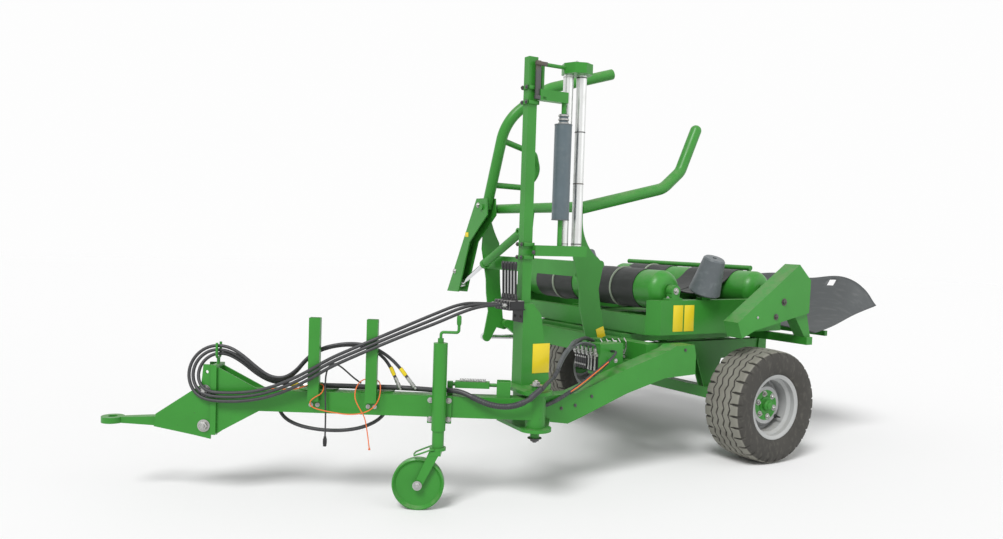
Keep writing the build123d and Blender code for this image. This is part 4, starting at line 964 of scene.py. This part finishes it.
def part_of(line, start, end):
    count = len(line) - 1
    return line[int(start * count):int(end * count) + 1]


def build_sleeves():
    beam, feed, brace = (cord_lines[name] for name in ("beam_bundle", "feed_bundle", "brace_hose"))
    sleeve("beam_sleeve", part_of(beam, 0.70, 0.985), 0.0172, "drawbar")
    join = [feed[-2].lerp(feed[-1], 0.6), feed[-1], feed[-1].lerp(beam[-1], 0.33),
            feed[-1].lerp(beam[-1], 0.67), beam[-1], beam[-1].lerp(beam[-2], 0.4)]
    # drawn in a little, so that the sleeve stays within the width of the solids
    join = [point + Vector((0, -0.0085, 0.001)) for point in join]
    sleeve("joint_sleeve", join, 0.0158, "drawbar", ribs=False)
    sleeve("feed_sleeve", part_of(feed, 0.62, 0.76), 0.0158, "chassis")
    sleeve("brace_sleeve", part_of(brace, 0.02, 0.42), 0.0125, "chassis")
    bare_run = part_of(brace, 0.40, 0.72)
    for index, (colour, material) in enumerate((("orange", orange_rope), ("black", grip_plastic))):
        beside = Vector((0, 0.012, 0.003 - 0.016 * index))
        wire = []
        for step in range(13):
            share = step / 12
            point = bare_run[int(share * (len(bare_run) - 1))]
            wire.append(point + beside * (1 if 0.1 < share < 0.9 else 0.75))
        work = bmesh.new()
        add_tube(work, wire, 0.0032, 10)
        finish_piece(f"brace_wire_{colour}", work, material, "chassis")


def build_feed_strands():
    """Thin hoses from the valve fittings down into the thick one."""
    feed = cord_lines["feed_bundle"]
    hoses, fittings = bmesh.new(), bmesh.new()
    for index in range(6):
        start = machine @ Vector((1.343, 0.660 + 0.042 * index, 0.776))
        turn = math.tau * index / 6
        away = 0.0125 * Vector((0.4 * math.cos(turn), -0.4 * math.cos(turn), math.sin(turn)))
        ends = [feed[int(share * (len(feed) - 1))] + away for share in (0.36, 0.46, 0.56, 0.66)]
        rise = Vector((0.018, 0.008, 0.040 + 0.005 * (index % 3)))
        first = [start, start + rise * 0.5, start + rise]
        middle_way = first[-1].lerp(ends[0], 0.5) + Vector((0, 0, 0.016 + 0.006 * (index % 3)))
        add_tube(hoses, smooth_run([*first, middle_way, *ends]), 0.0062, 10)
        add_turned(fittings, aim(start, rise), [
            (0, -0.012), (0.0135, -0.012), (0.0135, 0.004), (0.0098, 0.006), (0.0098, 0.030), (0.0080, 0.034),
            (0, 0.034)], 12)
        add_block(fittings, aim(start - Vector((0.014, 0, 0.012)), (0, 0, 1)), (0.034, 0.024, 0.020), 0.003)
    finish_piece("feed_strands", hoses, strand_rubber, "chassis")
    finish_piece("strand_fittings", fittings, zinc, "chassis")


def build_valve_bodies():
    dark, steel = bmesh.new(), bmesh.new()
    for index in range(6):
        y = 0.657 + 0.0205 * index
        height = 0.104 - 0.012 * (index % 2)
        add_block(dark, machine @ Matrix.Translation((1.300, y, 0.712)), (0.066, 0.0185, height), 0.002)
        for rise in (0.690, 0.738):
            add_turned(steel, on_machine((1.333, y, rise), (1, 0, 0)), [
                (0, -0.002), (0.0065, -0.002), (0.0065, 0.006), (0, 0.006)], 6)
    # A thin black sheet beside the valve bodies, behind the upright fittings: painted shade that stands for
    # the dark cavity there.
    add_block(dark, machine @ Matrix.Translation((1.3315, 0.832, 0.712)), (0.004, 0.098, 0.106), 0.001)
    for y in (0.800, 0.828, 0.862):
        add_turned(steel, on_machine((1.3400, y, 0.668), (0, 0, 1)), [
            (0, 0), (0.008, 0), (0.008, 0.022), (0.0058, 0.024), (0.0058, 0.070), (0.008, 0.072),
            (0.008, 0.088), (0, 0.088)], 12)
    finish_piece("valve_bodies_and_shade_sheet", dark, black_paint, "chassis")
    finish_piece("valve_body_fittings", steel, zinc, "chassis")


build_sleeves()
build_feed_strands()
build_valve_bodies()
build_levers()
build_valve_dressing()


# ---------------------------------------------------------------- springs
def add_coil(work, place, radius, wire, length, turns):
    steps = turns * 20
    points = [place @ Vector((radius * math.cos(math.tau * k / 20), radius * math.sin(math.tau * k / 20),
                              length * k / steps)) for k in range(steps + 1)]
    add_tube(work, points, wire, 8)


def build_springs():
    work = bmesh.new()
    for rise in (0.658, 0.686):
        add_coil(work, on_drawbar((0.276, 0.004, rise), (1, 0, 0)), 0.0098, 0.0030, 0.144, 16)
    finish_piece("turnbuckle_spring", work, zinc, "drawbar")
    work = bmesh.new()
    for height in (2.136, 2.158, 2.180):
        add_turned(work, on_machine((1.750, 1.015, height), (0, 0, 1)), [
            (0.0265, -0.006), (0.031, -0.004), (0.031, 0.004), (0.0265, 0.006), (0.0265, -0.006)], 28)
    finish_piece("film_core_rings", work, zinc, "film_core")


build_springs()


# ---------------------------------------------------------------- film unit trim
def build_film_trim():
    work = bmesh.new()
    for height in (1.585, 2.128):
        add_turned(work, on_machine((1.750, 1.015, height), (0, 0, 1)), [
            (0.0155, -0.003), (0.0515, -0.003), (0.0515, 0.003), (0.0155, 0.003), (0.0155, -0.003)], 40)
    finish_piece("film_core_lips", work, cone_plastic, "film_core")
    work = bmesh.new()
    for rise in (2.235, 2.318, 1.365, 1.438):
        for x in (1.925, 1.995):
            add_block(work, machine @ Matrix.Translation((x, 0.98, rise)), (0.010, 0.072, 0.022), 0.003)
        for y in (0.948, 1.012):
            add_block(work, machine @ Matrix.Translation((1.96, y, rise)), (0.080, 0.008, 0.022), 0.003)
    finish_piece("mast_clamps", work, green_paint, "chassis")
    work = bmesh.new()
    for rise in (2.235, 2.318, 1.365, 1.438):
        for y in (0.958, 1.002):
            add_bolt(work, on_machine((2.0005, y, rise), (1, 0, 0)), across=0.014, high=0.007)
    add_block(work, machine @ Matrix.Translation((1.942, 1.026, 2.368)), (0.034, 0.012, 0.20), 0.003)
    for rise in (2.452, 2.262):
        add_block(work, machine @ Matrix.Translation((1.925, 1.030, rise)), (0.075, 0.020, 0.022), 0.003)
    finish_piece("mast_clamp_bolts", work, dark_iron, "chassis")
    for index, (x, y) in enumerate(((1.682, 0.955), (1.612, 0.990))):
        work = bmesh.new()
        for rise in (1.448, 1.80, 2.10, 2.415):
            add_turned(work, on_machine((x, y, rise), (0, 0, 1)), [
                (0.0295, -0.003), (0.0312, -0.003), (0.0312, 0.003), (0.0295, 0.003), (0.0295, -0.003)], 32)
        body = ("stretch_roller_front", "stretch_roller_rear")[index]
        finish_piece(f"{body}_bands", work, dark_iron if index else zinc, body)


build_film_trim()


# ---------------------------------------------------------------- roller ends, jack and hitch trim
def build_trim():
    for node in ("roller_front", "roller_rear"):
        low, high = (Vector(corner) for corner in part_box(node))
        centre = (low + high) / 2
        work = bmesh.new()
        for sign in (1, -1):
            face = Vector((centre.x, centre.y + sign * (high.y - low.y) / 2, centre.z))
            add_turned(work, aim(face, (0, sign, 0)), [
                (0.0195, -0.002), (0.046, -0.002), (0.046, 0.003), (0.0195, 0.003), (0.0195, -0.002)], 32)
        finish_piece(f"{node}_ends", work, green_paint, node)
    work = bmesh.new()
    add_turned(work, drawbar @ aim((0.425, 0.100, 1.038), (0, 0, 1)), [
        (0, -0.040), (0.0105, -0.040), (0.0125, -0.030), (0.0125, 0.004), (0.010, 0.010), (0, 0.011)], 20)
    finish_piece("crank_grip", work, green_paint, "drawbar")
    work = bmesh.new()
    add_bolt(work, on_machine((2.0, 1.195, 0.3832), (0, 0, -1)), across=0.046, high=0.016)
    finish_piece("king_pin_nut", work, dark_iron, "drawbar")
    work = bmesh.new()
    add_bolt(work, on_drawbar((0.620, 0.1485, 0.140), (0, 1, 0)), across=0.030, high=0.014)
    add_bolt(work, on_drawbar((0.620, 0.0515, 0.140), (0, -1, 0)), across=0.030, high=0.014)
    finish_piece("jack_axle_nuts", work, zinc, "jack_fork")
    work = bmesh.new()
    add_tube(work, [drawbar @ Vector(point) for point in (
        (0.535, 0.146, 0.334), (0.560, 0.151, 0.332), (0.610, 0.150, 0.312), (0.640, 0.142, 0.300),
        (0.646, 0.100, 0.298), (0.640, 0.058, 0.300), (0.610, 0.050, 0.312), (0.560, 0.049, 0.332),
        (0.535, 0.054, 0.334))], 0.0045)
    finish_piece("jack_fork_handle", work, green_paint, "jack_fork")
    work = bmesh.new()
    for s in (0.890, 1.200):
        for edge in (0.052, 0.088):
            add_block(work, drawbar @ Matrix.Translation((s, edge, 1.0105)), (0.058, 0.003, 0.001), 0.0004)
    finish_piece("post_rims", work, green_paint, "drawbar")


build_trim()
